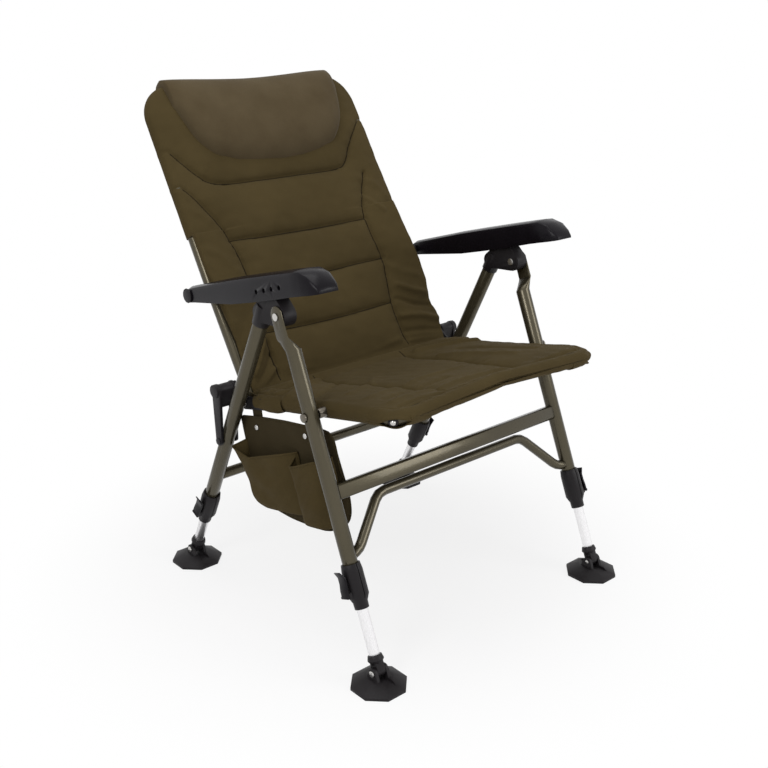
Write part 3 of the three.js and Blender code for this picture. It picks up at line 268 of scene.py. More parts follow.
def sheet_mesh(name, front, thickness_dir, thickness):
    """A thin closed sheet from a grid of points, thickened along one direction or a grid of them."""
    front = np.asarray(front, float)
    rear = front + np.asarray(thickness_dir, float) * thickness
    index = np.arange(front.size // 3).reshape(front.shape[:2])
    shift = index.size
    points = np.concatenate([front.reshape(-1, 3), rear.reshape(-1, 3)])
    faces = []
    for a, b, c, d in quads(index):
        faces += [(a, b, c, d), (shift + d, shift + c, shift + b, shift + a)]
    edge = np.concatenate([index[:, 0], index[-1, 1:], index[-2::-1, -1], index[0, -2:0:-1]]).tolist()
    for here, there in zip(edge, edge[1:] + edge[:1]):
        faces.append((here, there, shift + there, shift + here))
    return faced_out(mesh_object(name, points, faces))


def swept(name, path, radius, sides, flat, normal):
    """A tube or flattened cord along a list of points."""
    tangent = np.gradient(path, axis=0)
    tangent /= np.linalg.norm(tangent, axis=1, keepdims=True)
    side = np.cross(tangent, normal)
    side /= np.linalg.norm(side, axis=1, keepdims=True)
    other = np.cross(side, tangent)
    turn = np.arange(sides)[:, None] * 2 * math.pi / sides
    rings = path[:, None] + radius * (np.cos(turn) * side[:, None] + flat * np.sin(turn) * other[:, None])
    return lofted(name, rings)


def turned(name, profile, centre, axis, sides):
    """A solid of revolution: profile gives (radius, way along the axis) in mm."""
    axis = np.array(axis, float)
    axis /= np.linalg.norm(axis)
    u = np.cross(axis, (0.0, 0.0, 1.0))
    u /= np.linalg.norm(u)
    w = np.cross(axis, u)
    turn = np.arange(sides)[:, None] * 2 * math.pi / sides
    ring = np.cos(turn) * u + np.sin(turn) * w
    return lofted(name, [centre + MM * (axis * along + radius * ring) for radius, along in profile])


def dress(piece, material, body):
    piece.data.materials.append(material)
    if body:
        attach(piece, body)
    return piece


# Materials
def srgb(red, green, blue):
    """A colour written as 0 to 255 display values, as linear light."""
    shares = [value / 255 for value in (red, green, blue)]
    return tuple(s / 12.92 if s <= 0.04045 else ((s + 0.055) / 1.055) ** 2.4 for s in shares) + (1.0,)


def shade(colour, share):
    """A colour times a share, darker below one and brighter above it."""
    return tuple(min(1.0, c * share) for c in colour[:3]) + (1.0,)


def put(tree, kind, inputs=None, **settings):
    """A new shader node with its settings, and its inputs as values or as sockets to link."""
    made = tree.nodes.new(kind)
    for key, value in settings.items():
        setattr(made, key, value)
    for key, value in (inputs or {}).items():
        if isinstance(value, bpy.types.NodeSocket):
            tree.links.new(value, made.inputs[key])
        else:
            made.inputs[key].default_value = value
    return made


class Finish:
    """A Principled material with helpers for the node chains that the finishes share."""

    def __init__(self, name, roughness, metallic=0.0):
        self.material = bpy.data.materials.new(name)
        self.material.use_nodes = True
        self.tree = self.material.node_tree
        self.shader = self.tree.nodes["Principled BSDF"]
        self.set(Roughness=roughness, Metallic=metallic)
        self.place = self.socket("ShaderNodeTexCoord", "Object")

    def socket(self, kind, output, inputs=None, **settings):
        return put(self.tree, kind, inputs, **settings).outputs[output]

    def feed(self, source, name):
        self.tree.links.new(source, self.shader.inputs[name])

    def noise(self, scale, detail, stretch=None):
        place = self.place
        if stretch:
            place = self.socket("ShaderNodeMapping", "Vector", {"Scale": stretch, "Vector": place})
        return self.socket("ShaderNodeTexNoise", "Fac", {"Scale": scale, "Detail": detail, "Vector": place})

    def waves(self, direction, scale, distortion):
        inputs = {"Scale": scale, "Distortion": distortion, "Vector": self.place}
        return self.socket("ShaderNodeTexWave", "Fac", inputs, wave_type="BANDS", bands_direction=direction)

    def math(self, operation, a, b):
        return self.socket("ShaderNodeMath", "Value", {0: a, 1: b}, operation=operation)

    def ramp(self, factor, stops):
        made = put(self.tree, "ShaderNodeValToRGB", {"Fac": factor})
        for element, (position, colour) in zip(made.color_ramp.elements, stops):
            element.position, element.color = position, colour
        return made.outputs["Color"]

    def mix(self, factor, a, b):
        return self.socket("ShaderNodeMix", 2, {0: factor, 6: a, 7: b}, data_type="RGBA")

    def colour(self, source):
        self.feed(source, "Base Color")

    def roughness(self, factor, low, high):
        inputs = {"To Min": low, "To Max": high, "Value": factor}
        self.feed(self.socket("ShaderNodeMapRange", "Result", inputs), "Roughness")

    def bump(self, height, distance, strength):
        inputs = {"Distance": distance, "Strength": strength, "Height": height}
        below = self.shader.inputs["Normal"].links
        if below:
            inputs["Normal"] = below[0].from_socket
        self.feed(self.socket("ShaderNodeBump", "Normal", inputs), "Normal")

    def set(self, **values):
        for name, value in values.items():
            self.shader.inputs[name.replace("_", " ")].default_value = value


def woven_cloth(name, base, dark, threads=1400.0):
    """Dense polyester canvas: fine plain weave, slubs, and a slow change of tone."""
    finish = Finish(name, 0.8)
    weave = finish.math("MAXIMUM", *(finish.waves(way, threads / 6.3, 1.2) for way in "XZ"))
    slubs = finish.noise(900, 2, (1.0, 1.0, 0.25))
    colour = finish.ramp(finish.noise(9, 3), [(0.3, dark), (0.72, base)])
    thread_dark = shade(base, 0.72)
    between = finish.math("MULTIPLY", finish.math("SUBTRACT", 1.0, weave), 0.5)
    colour = finish.mix(between, colour, thread_dark)
    finish.colour(finish.mix(finish.math("MULTIPLY", slubs, 0.22), colour, thread_dark))
    finish.roughness(slubs, 0.72, 0.9)
    finish.bump(finish.math("ADD", weave, finish.math("MULTIPLY", slubs, 0.6)), 0.00018, 0.5)
    finish.bump(finish.noise(160, 4), 0.0006, 0.25)
    finish.set(Sheen_Weight=0.02, Sheen_Roughness=0.5, Specular_IOR_Level=0.06)
    return finish.material


def fleece_cloth(name, base, dark):
    """Brushed fleece: short matted pile with a soft sheen."""
    finish = Finish(name, 0.95)
    pile = finish.noise(700, 6)
    tufts = finish.noise(120, 4)
    colour = finish.ramp(finish.noise(14, 3), [(0.3, dark), (0.7, base)])
    finish.colour(finish.mix(finish.math("MULTIPLY", pile, 0.5), colour, shade(base, 0.6)))
    finish.bump(finish.math("ADD", pile, tufts), 0.0012, 0.4)
    finish.set(Sheen_Weight=0.1, Sheen_Roughness=0.4, Specular_IOR_Level=0.05)
    return finish.material


def painted_metal(name, base, dark):
    """Metallic paint: fine flake, painted shade that darkens the rims as they turn away, faint orange peel
    and a soft change of tone.
    """
    finish = Finish(name, 0.24, 0.5)
    colour = finish.ramp(finish.noise(12, 4), [(0.25, dark), (0.75, base)])
    flaked = finish.mix(finish.math("MULTIPLY", finish.noise(2600, 2), 0.5), colour, shade(base, 1.7))
    # painted shade: the colour darkens towards the rims that face away, standing in for the tubes' own
    # shading
    rim = finish.socket("ShaderNodeLayerWeight", "Facing", {"Blend": 0.4})
    finish.colour(finish.mix(finish.math("MULTIPLY", rim, 0.9), flaked, shade(base, 0.3)))
    finish.roughness(finish.noise(60, 4), 0.18, 0.3)
    finish.bump(finish.noise(500, 2), 0.0002, 0.12)
    finish.set(Specular_IOR_Level=0.15, Coat_Weight=0.2, Coat_Roughness=0.08)
    return finish.material


def bright_metal(name, base, roughness, metallic, stretch=(1, 1, 0.06)):
    """Drawn or turned bright metal with fine lengthwise marks."""
    finish = Finish(name, roughness, metallic)
    marks = finish.noise(900, 3, stretch)
    finish.colour(finish.ramp(marks, [(0.35, shade(base, 0.86)), (0.65, base)]))
    finish.roughness(marks, roughness * 0.8, roughness * 1.3)
    finish.bump(marks, 0.0001, 0.15)
    return finish.material


def moulded_plastic(name, base, roughness, specular, grain):
    """Moulded plastic: fine grain, faint flow tone and glossier rubbed areas."""
    finish = Finish(name, roughness)
    tone = finish.noise(18, 4)
    finish.colour(finish.ramp(tone, [(0.3, shade(base, 0.7)), (0.7, base)]))
    finish.roughness(tone, roughness * 0.85, roughness * 1.2)
    finish.bump(finish.noise(grain, 3), 0.00025, 0.3)
    finish.set(Specular_IOR_Level=specular)
    return finish.material


canvas = woven_cloth("canvas", srgb(81, 69, 43), srgb(71, 60, 36))
# darker canvas for the pocket panel, its rim and the straps; on the panel it is partly painted shade for the
# pouches' insides
canvas_dark_and_shade = woven_cloth("canvas_dark_and_shade", srgb(66, 57, 38), srgb(56, 48, 31))
fleece = fleece_cloth("fleece", srgb(94, 82, 61), srgb(83, 71, 51))
paint = painted_metal("painted_frame", srgb(84, 78, 62), srgb(72, 67, 53))
bright_tube = bright_metal("bright_tube", srgb(253, 252, 253), 0.3, 1.0)
dark_steel = bright_metal("dark_steel", srgb(112, 106, 96), 0.3, 0.85, (1, 1, 1))
bright_steel = bright_metal("bright_steel", srgb(205, 203, 200), 0.24, 0.85, (1, 1, 1))
black_plastic = moulded_plastic("black_plastic", srgb(34, 31, 33), 0.46, 0.2, 1500.0)
arm_plastic = moulded_plastic("arm_plastic", srgb(22, 19, 24), 0.24, 0.12, 1100.0)
# stitch thread, darker than the canvas: real thread, and partly painted shade along the seam creases
stitch_thread_and_shade = woven_cloth("stitch_thread_and_shade", srgb(46, 39, 25), srgb(40, 34, 22), 4000.0)


# The frame's own parts: rounded edges, smooth tubes and their finishes
finish_of_slot = {"painted_frame": paint, "bright_tube": bright_tube, "bright_steel": bright_steel,
                  "black_plastic": black_plastic, "arm_plastic": arm_plastic, "canvas": canvas,
                  "fleece": fleece}
slot_of_node = {part["node"]: part["material_slot"] for part in frame["record"]["subparts"]}
SMOOTH_ANGLE = math.radians(38)
WELD_REACH = 0.00002
MOULDED_ROUND = 0.9 * MM
METAL_ROUND = 0.35 * MM

for name, node in frame["nodes"].items():
    slot = slot_of_node[name]
    mesh = node.data
    mesh.materials.clear()
    mesh.materials.append(dark_steel if name.startswith("seat_bolt") else finish_of_slot[slot])
    if "custom_normal" in mesh.attributes:
        mesh.attributes.remove(mesh.attributes["custom_normal"])
    mesh.polygons.foreach_set("use_smooth", [True] * len(mesh.polygons))
    node.modifiers.new("weld", "WELD").merge_threshold = WELD_REACH
    bevel = node.modifiers.new("soft_edges", "BEVEL")
    bevel.width = MOULDED_ROUND if slot in ("black_plastic", "arm_plastic") else METAL_ROUND
    bevel.segments = 2
    bevel.limit_method = "ANGLE"
    bevel.angle_limit = SMOOTH_ANGLE
    bevel.use_clamp_overlap = True
    node.modifiers.new("crisp", "EDGE_SPLIT").split_angle = SMOOTH_ANGLE


# Seat and back tubes as the frame has them, and the pads' edges round them
BACK_TUBE = 250.0
BACK_TUBE_TOP = 244.0
BACK_TAPER_START = 250.0
BACK_TUBE_RADIUS = 12.0
BACK_TOP = 635.0
BACK_BEND = 55.0
BACK_EDGE = 14.5
SLEEVE_END = 335.0
SEAT_TUBE = 247.0
SEAT_EDGE = 15.0
CREASE_UP = 17.0
CREASE_OUT = 15.0
BACK_LOW = 3.0

# How both pads are sampled: spacing of the rings, and points along front, edge and rear
ROW = 3.0
PAD_SAMPLES = (181, 7, 66)
CAP_SAMPLES = 7

# Back pad seams, as (x, way up the back) in mm
CHEVRON = [(-262, 531), (-225, 481), (-187, 437), (-150, 428), (-28, 427), (145, 427), (170, 440),
           (194, 477), (231, 520), (250, 540)]
BOLSTER_RIGHT = [(-264, 447), (-234, 423), (-203, 370), (-184, 325), (-173, 270), (-171, 215), (-174, 160),
                 (-183, 100), (-184, 20)]
BOLSTER_LEFT = [(205, 412), (186, 375), (168, 335), (163, 307), (166, 254), (172, 216), (156, 150),
                (146, 90), (151, 20)]
CHANNELS = [[(-180, 312), (-60, 308), (60, 307), (164, 310)],
            [(-171, 217), (-60, 213), (70, 214), (172, 217)],
            [(-182, 118), (-60, 113), (60, 114), (148, 118)]]
BACK_SEAMS = [rounded_line(line) for line in (CHEVRON, BOLSTER_RIGHT, BOLSTER_LEFT, *CHANNELS)]

# Below the back's sleeve, by height: half widths on both hands and half the edge's thickness
BACK_RIGHT = [(0, 250), (17, 252), (60, 251), (80, 252), (113, 250), (166, 256), (203, 258), (250, 262),
              (345, 262)]
BACK_LEFT = [(0, 250), (17, 253), (52, 254), (74, 258), (100, 250), (146, 257), (193, 259), (241, 258),
             (289, 254), (345, 249)]
BACK_THIN = [(0, 2.5), (105, 2.5), (150, 7), (345, 7)]


def back_tube(v):
    """How far out the middle of the back's tube is at a height."""
    up = np.clip((v - BACK_TAPER_START) / (BACK_TOP - BACK_TAPER_START), 0, 1)
    return blend_between(BACK_TUBE, BACK_TUBE_TOP, up)


def back_half_width(v, side):
    """How far out the back's edge is at a height: the sleeve above its end, the free edge below."""
    above = np.maximum(0, v - (BACK_TOP - BACK_BEND))
    reach = np.sqrt(np.maximum(0, (BACK_BEND + BACK_EDGE) ** 2 - above ** 2))
    sleeve = back_tube(v) - BACK_BEND + reach
    free = table_at(BACK_LEFT if side > 0 else BACK_RIGHT, v)
    return np.where(v > SLEEVE_END, sleeve, free)


def pad_ring(left, right, edge, front, rear):
    """Ring of (x, out): across the front, round the left edge, along the rear, round the right edge."""
    front_count, edge_count, rear_count = PAD_SAMPLES
    middle = (left - right) / 2
    reach = (left + right) / 2 - edge
    xs = np.linspace(-1, 1, front_count) * reach
    outs = front(middle + xs, np.abs(xs) / reach)
    ring = [np.stack([middle + xs, outs], axis=1)]
    back_xs = np.linspace(1, -1, rear_count) * reach
    back_outs = rear(middle + back_xs, np.abs(back_xs) / reach)
    for hand, top, low in ((1, outs[-1], back_outs[0]), (-1, outs[0], back_outs[-1])):
        angle = np.linspace(math.pi / 2, -math.pi / 2, edge_count + 2)[1:-1] * hand
        x = middle + hand * (reach + edge * np.cos(angle))
        ring.append(np.stack([x, (top + low) / 2 + (top - low) / 2 * np.sin(angle)], axis=1))
        if hand > 0:
            ring.append(np.stack([back_xs + middle, back_outs], axis=1))
    return np.vstack(ring)


# Folds: (line, height, width), ridges and, below zero, creases where the cloth bunches
BACK_FOLDS = [
    ([(175, 150), (205, 132), (240, 120)], 6.0, 6.5),
    ([(162, 122), (200, 100), (246, 90)], -4.5, 5.0),
    ([(158, 82), (205, 74), (248, 60)], 7.0, 7.0),
    ([(158, 48), (205, 42), (246, 34)], -4.0, 5.0),
    ([(156, 26), (200, 22), (244, 16)], 5.0, 5.0),
    ([(170, 200), (200, 176), (236, 160)], 2.5, 8.0),
    ([(176, 360), (200, 335), (214, 318)], 3.0, 5.0),
    ([(188, 400), (214, 386), (240, 352)], 2.0, 8.0),
    ([(-188, 104), (-215, 70), (-236, 44)], 6.0, 6.0),
    ([(-186, 74), (-210, 46), (-232, 26)], -4.5, 4.5),
    ([(-186, 46), (-206, 30), (-228, 14)], 5.0, 4.5),
    ([(-200, 150), (-225, 116), (-240, 100)], 4.0, 7.0),
    ([(-178, 128), (-206, 96), (-226, 60)], -3.0, 5.0),
    ([(-190, 340), (-226, 372), (-250, 392)], 2.0, 9.0),
    ([(-196, 250), (-222, 286), (-246, 300)], 2.2, 9.0),
    ([(-150, 30), (-60, 22), (40, 24), (130, 34)], 2.6, 6.0),
]

# Puckers: their reach is the usual one, its spread and the least
PUCKER_HEIGHT = 0.85
PUCKER_SPACING = 5.2
PUCKER_WANDER = 2.4
PUCKER_REACH = (13, 5, 6)
PUCKER_START = 4.0


def puckers(gone, along, seed):
    """Small folds that run out of a seam, uneven in spacing and soon gone."""
    usual, spread, least = PUCKER_REACH
    phase = along / PUCKER_SPACING + PUCKER_WANDER * ripple(along, 0 * along, 90, seed)
    reach = usual + spread * ripple(along, 0 * along, 50, seed + 1)
    fade = np.exp(-gone / np.maximum(least, reach))
    return PUCKER_HEIGHT * np.sin(phase) * fade * (1 - np.exp(-gone / PUCKER_START))


def worked(out, x, station, seams, groove, seed, folds, fold_scale, ripples):
    """A pad's front with its seams pressed in, its folds laid on and slow ripples over all."""
    depth, width = groove
    for line in seams:
        gone, along = near_line(x, station, line)
        out = out - depth * np.exp(-(gone / width) ** 2) + puckers(gone, along, seed)
    for line, height, width in folds:
        gone, _ = near_line(x, station, line)
        out = out + fold_scale * height * np.exp(-(gone / width) ** 2)
    for height, wave, draw in ripples:
        out = out + height * ripple(x, station, wave, draw)
    return out


def skin_at(skin, x, station):
    """How far out a pad's front is, from its rows of (station, x, out)."""
    i = int(np.clip(np.searchsorted([row[0] for row in skin], station) - 1, 0, len(skin) - 2))
    low, high = skin[i], skin[i + 1]
    t = np.clip((station - low[0]) / max(1e-6, high[0] - low[0]), 0, 1)
    return float(blend_between(np.interp(x, low[1], low[2]), np.interp(x, high[1], high[2]), t))


STITCH_STEP = 3.0
STITCH_RADIUS = 1.15
STITCH_FLAT = 0.6
STITCH_PROUD = 0.2
STITCH_MARGIN = 3


def sewn_seams(name, seams, skin, plane, reach):
    """Sunk stitching along every seam, as one piece, kept within the pad's flat front; its thread is coloured
    darker than the cover, partly as painted shade of the seam creases.
    """
    cords = []
    for k, line in enumerate(seams):
        dots = [(x, v) for x, v in even_line(line, step=STITCH_STEP) if abs(x) < reach(x, v) - STITCH_MARGIN]
        path = np.array([plane.at(x, v, skin_at(skin, x, v) + STITCH_PROUD) for x, v in dots])
        cords.append(swept(f"{name}_{k}", path, STITCH_RADIUS * MM, 6, STITCH_FLAT, plane.out))
    bpy.ops.object.select_all(action="DESELECT")
    for cord in cords:
        cord.select_set(True)
    bpy.context.view_layer.objects.active = cords[0]
    bpy.ops.object.join()
    cords[0].name = name
    return cords[0]


BACK_BODY = 11.0
BACK_QUILT = 14.0
BACK_QUILT_MARGIN = 4
BACK_RASTER = ((-272, 8), (272, 656))
BACK_TUBE_GAP = 0.6
BACK_REAR = 7.25
BACK_RISE = (10, 12)
BACK_HOLLOW = 0.5
BACK_THINNED = (60, 43)
BACK_THIN_REAR = 6.0
BACK_WORK = {"seams": BACK_SEAMS, "groove": (3.2, 3.1), "seed": 5, "folds": BACK_FOLDS, "fold_scale": 1.0,
             "ripples": ((1.2, 95, 11), (0.5, 31, 12))}


def build_back_pad():
    cap = BACK_TOP + BACK_EDGE * np.sin(np.linspace(0, math.pi / 2, CAP_SAMPLES)) * 0.999
    stations = [*np.arange(BACK_LOW, SLEEVE_END - 1, ROW), SLEEVE_END - 0.5, SLEEVE_END + 0.5,
                *np.arange(SLEEVE_END + ROW, BACK_TOP, ROW), *cap]

    def inside(x, v):
        half = np.where(x > 0, back_half_width(v, 1), back_half_width(v, -1)) - BACK_QUILT_MARGIN
        return (np.abs(x) < half) & (v > CREASE_UP + 2) & (v < BACK_TOP + BACK_EDGE - BACK_QUILT_MARGIN)

    quilt = Quilt(*BACK_RASTER, inside, BACK_SEAMS)
    skin = []
    rings = []
    for v in stations:
        wrapped = v > SLEEVE_END
        edge = BACK_EDGE if wrapped else float(table_at(BACK_THIN, v))
        left, right = (float(back_half_width(np.array(v), side)) for side in (1, -1))
        into = min(1.0, max(0.0, v - BACK_TOP) / BACK_EDGE)
        plump = math.sqrt(1 - into * into)
        tube = float(back_tube(v))
        lower_rear = BACK_TUBE_RADIUS + BACK_TUBE_GAP
        front_edge = BACK_EDGE if wrapped else lower_rear + 2 * edge
        low = float(np.clip((BACK_THINNED[0] - v) / BACK_THINNED[1], 0, 1))

        def front(x, share):
            vv = np.full_like(x, v)
            body = blend_between(BACK_BODY, front_edge, share ** 6)
            out = worked(body + BACK_QUILT * quilt.at(x, vv) * (1 - share ** 10), x, vv, **BACK_WORK)
            out = plump * blend_between(out, CREASE_OUT, low ** 3)
            if into == 0:
                skin.append((v, x, out))
            return out

        def rear(x, share):
            if wrapped:
                wrap = np.clip((v - BACK_TOP) / BACK_EDGE + 2, 0, 1)
                depth = BACK_EDGE * blend_between(blend_between(BACK_HOLLOW, 1, wrap), 1, share ** 4)
                return -plump * (depth + 0.5 * ripple(x, np.full_like(x, v), 80, 13) * (1 - share))
            rise = ease(np.abs(x), tube - BACK_TUBE_RADIUS - BACK_RISE[0], BACK_RISE[1])
            flat = blend_between(-BACK_REAR, lower_rear, rise)
            thin = np.where(np.abs(x) > tube - 2 * BACK_TUBE_RADIUS, lower_rear, BACK_THIN_REAR)
            return blend_between(flat, thin, low ** 2)

        ring = pad_ring(left, right, edge, front, rear)
        rings.append(back_plane.at(ring[:, 0], v, ring[:, 1]))
    pad = lofted("back_pad_cover", rings)
    stitches = sewn_seams("back_pad_stitches", BACK_SEAMS, skin, back_plane,
                          lambda x, v: float(back_half_width(np.array(v), x)) - BACK_EDGE)
    dress(stitches, stitch_thread_and_shade, None)
    dress(pad, canvas, None)
    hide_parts("back_pad")
    for piece in (pad, stitches):
        tuple(back_plane.at(0, CREASE_UP + 2, 0))
        tuple(back_plane.at(0, CREASE_UP + 34, 0))
        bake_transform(piece)


# Seat pad, in mm along the seat from its pivot, rearward positive
SEAT_BAR = 172.0
SEAT_BEND_START = 120.0
SEAT_SLEEVE_END = 146.0
SEAT_CREASE = 234.0
SEAT_CREASE_UP = 21.5
SEAT_FRONT_HALF = 226.0
SEAT_CORNER_DROP = 5.5
SEAT_BAR_RISE = 8.0
SEAT_SAG = 15.0
SEAT_THICK = 15.0
SEAT_SIDE_SEAM = [(114, 225), (113, 44), (96, -41), (96, -142)]
SEAT_FRONT_SEAM = [(-226, -170), (-150, -160), (-96, -146), (0, -139), (96, -144), (160, -160), (226, -172)]
SEAT_SEAMS = [rounded_line(line)
              for line in (SEAT_SIDE_SEAM, [(-x, s) for x, s in SEAT_SIDE_SEAM], SEAT_FRONT_SEAM)]
SEAT_FOLDS = [
    ([(-214, -128), (-120, -112), (-30, -100), (70, -108)], 3.2, 9.0),
    ([(-200, -96), (-110, -66), (-20, -52)], -3.0, 8.0),
    ([(-210, -60), (-130, -30), (-40, -6), (60, -10)], 2.6, 9.0),
    ([(-200, 6), (-120, 48), (-60, 100)], 2.4, 9.0),
    ([(-226, 60), (-170, 96), (-110, 150)], -2.6, 7.0),
    ([(130, 120), (150, 40), (160, -60)], 3.4, 10.0),
    ([(176, 110), (200, 20), (206, -70)], -2.6, 8.0),
    ([(-250, 120), (-200, 160), (-120, 196)], 5.0, 7.0),
    ([(-246, 176), (-180, 206), (-104, 222)], -4.0, 5.5),
    ([(-250, 212), (-190, 224), (-140, 228)], 4.0, 4.5),
    ([(248, 130), (196, 170), (140, 202)], 5.0, 7.0),
    ([(244, 182), (186, 210), (130, 222)], -4.0, 5.5),
    ([(-222, -154), (-120, -150), (-20, -147), (90, -152), (222, -158)], -3.6, 3.6),
    ([(-216, -165), (-110, -160), (10, -163), (100, -160), (216, -168)], -2.6, 3.0),
    ([(-150, -172), (-60, -170), (30, -174), (150, -171)], -1.8, 2.6),
]
SEAT_WORK = {"seams": SEAT_SEAMS, "groove": (2.8, 3.0), "seed": 6, "folds": SEAT_FOLDS, "fold_scale": 1.3,
             "ripples": ((1.4, 110, 21), (0.5, 36, 22))}
SEAT_QUILT = 8.0
SEAT_QUILT_MARGIN = 8
SEAT_RASTER = ((-268, -192), (268, 236))
FRONT_BAR_COVER = 13.4

# The seat's rear part beside the hinge plates, up to its hem and the crease
SEAT_REAR_HALF = 263.5
SEAT_DRAWN_IN = (4, 200, 30)
SEAT_PLATE_LOWER = (2, 180, 40)
SEAT_PLATE_START = (0.8, 0.1)
SEAT_TAIL = 150
SEAT_TAIL_SAG = 0.35
SEAT_TAIL_THICK = 10.0
SEAT_HEM_EDGE = 2.6
SEAT_HEM_THICK = 4.6
SEAT_HEM_THINNED = (0.78, 0.08)
SEAT_HEM_START = 0.965
SEAT_HEM_DROP = 7.0
SEAT_TO_CREASE = 200


def seat_rise(x, s):
    """The seat tube's own height at the front: its corners dip and its bar rises to the middle."""
    ahead = np.clip((-s - SEAT_BEND_START) / (SEAT_BAR - SEAT_BEND_START), 0, 1)
    inward = 1 - np.minimum(np.abs(x) / SEAT_TUBE, 1)
    return ahead * (-SEAT_CORNER_DROP + (SEAT_BAR_RISE + SEAT_CORNER_DROP) * inward)


def seat_ahead(s):
    """How far a station is into the front corners, 0 to 1."""
    return np.clip((-s - SEAT_BEND_START) / (SEAT_BAR + SEAT_EDGE - SEAT_BEND_START), 0, 1)


def seat_past(s):
    """How far a station is past the end of the side sleeves, 0 to 1."""
    return smooth((s - SEAT_SLEEVE_END + 3) / 14.0)


def seat_half_width(s):
    drawn, start, run = SEAT_DRAWN_IN
    full = blend_between(SEAT_TUBE + SEAT_EDGE, SEAT_FRONT_HALF, seat_ahead(s))
    return blend_between(full, SEAT_REAR_HALF - drawn * ease(s, start, run), seat_past(s))


def build_seat_pad():
    nose = -SEAT_BAR - SEAT_EDGE * np.cos(np.linspace(0.03, math.pi / 2, CAP_SAMPLES))
    stations = np.concatenate([nose, np.arange(-SEAT_BAR + ROW, SEAT_CREASE, ROW), [SEAT_CREASE]])

    def inside(x, s):
        return ((np.abs(x) < seat_half_width(s) - SEAT_QUILT_MARGIN) & (s > -SEAT_BAR - SEAT_QUILT_MARGIN)
                & (s < SEAT_CREASE - 2))

    quilt = Quilt(*SEAT_RASTER, inside, SEAT_SEAMS)
    skin = []
    rings = []
    for s in stations:
        into = min(1.0, max(0.0, -SEAT_BAR - s) / SEAT_EDGE)
        plump = math.sqrt(max(0.0, 1 - into * into))
        ahead = seat_ahead(s)
        half = float(seat_half_width(s))
        tail = ease(s, SEAT_TAIL, SEAT_CREASE - SEAT_TAIL)
        past = float(seat_past(s))
        edge = float(blend_between(SEAT_EDGE, SEAT_HEM_EDGE, past))

        def surface(x, share):
            ss = np.full_like(x, s)
            sag = SEAT_SAG * (1 - share ** 2) * (1 - ahead)
            lower, start, run = SEAT_PLATE_LOWER
            edge_up = blend_between(SEAT_EDGE, SEAT_CREASE_UP - lower * ease(s, start, run),
                                    past * ease(share, *SEAT_PLATE_START))
            edge_up = edge_up - SEAT_HEM_DROP * past * ease(share, SEAT_HEM_START, 0.03)
            out = edge_up - sag * (1 - SEAT_TAIL_SAG * tail) + SEAT_QUILT * quilt.at(x, ss) * (1 - share ** 8)
            out = worked(out, x, ss, **SEAT_WORK)
            closing = ease(s, SEAT_TO_CREASE, SEAT_CREASE - SEAT_TO_CREASE) * (share < SEAT_HEM_START)
            out = blend_between(out, SEAT_CREASE_UP - 2, closing)
            bar = math.sqrt(max(0.0, FRONT_BAR_COVER ** 2 - (s + SEAT_BAR) ** 2))
            return seat_rise(x, s) + np.maximum(plump * out, bar)

        def front(x, share):
            out = surface(x, share)
            if s > -SEAT_BAR:
                skin.append((s, x, out))
            return out

        def rear(x, share):
            top = surface(x, share)
            under = blend_between(top - plump * (SEAT_THICK + SEAT_EDGE * ahead),
                                  seat_rise(x, s) - plump * SEAT_EDGE, share ** 4)
            thin = top - blend_between(SEAT_TAIL_THICK, SEAT_HEM_THICK, ease(share, *SEAT_HEM_THINNED))
            return blend_between(under, thin, past)

        ring = pad_ring(half, half, edge, front, rear)
        rings.append(seat_plane.at(ring[:, 0], s, ring[:, 1]))
    pad = lofted("seat_pad_cover", rings)
    dress(pad, canvas, None)
    stitches = sewn_seams("seat_pad_stitches", SEAT_SEAMS, skin, seat_plane,
                          lambda x, s: seat_half_width(s) - SEAT_EDGE)
    dress(stitches, stitch_thread_and_shade, None)
    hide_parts("seat_pad", "seat_back_wedge")
    for piece in (pad, stitches):
        tuple(seat_plane.at(0, 176, 0))
        tuple(seat_plane.at(0, SEAT_CREASE - 3, 0))
        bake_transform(piece)


# Headrest pillow
PILLOW_HALF = 207.0
PILLOW_TOP = 662.0
PILLOW_BOTTOM = 456.0
PILLOW_OUT = 53.0
PILLOW_FLAP_DEPTH = 21.0
PILLOW_FLAP_END = 618.0
PILLOW_RISE = [(0, 0), (0.3, 0.02), (0.58, 0.07), (0.8, 0.18), (0.93, 0.37), (1, 0.6)]
PILLOW_PLUMP = [(0, 1), (0.3, 1), (0.58, 0.97), (0.8, 0.88), (0.93, 0.68), (1, 0.4)]
PILLOW_PROFILE = [(0, 0.02), (0.02, 0.3), (0.06, 0.56), (0.14, 0.8), (0.25, 0.94), (0.36, 1), (0.5, 1),
                  (0.62, 0.98), (0.74, 0.9), (0.84, 0.76), (0.91, 0.6), (0.96, 0.4), (0.99, 0.2)]
PILLOW_THIN = 16
PILLOW_TOP_DIP = 8
PILLOW_ROUNDING = 5.0
PILLOW_SLICES = 101


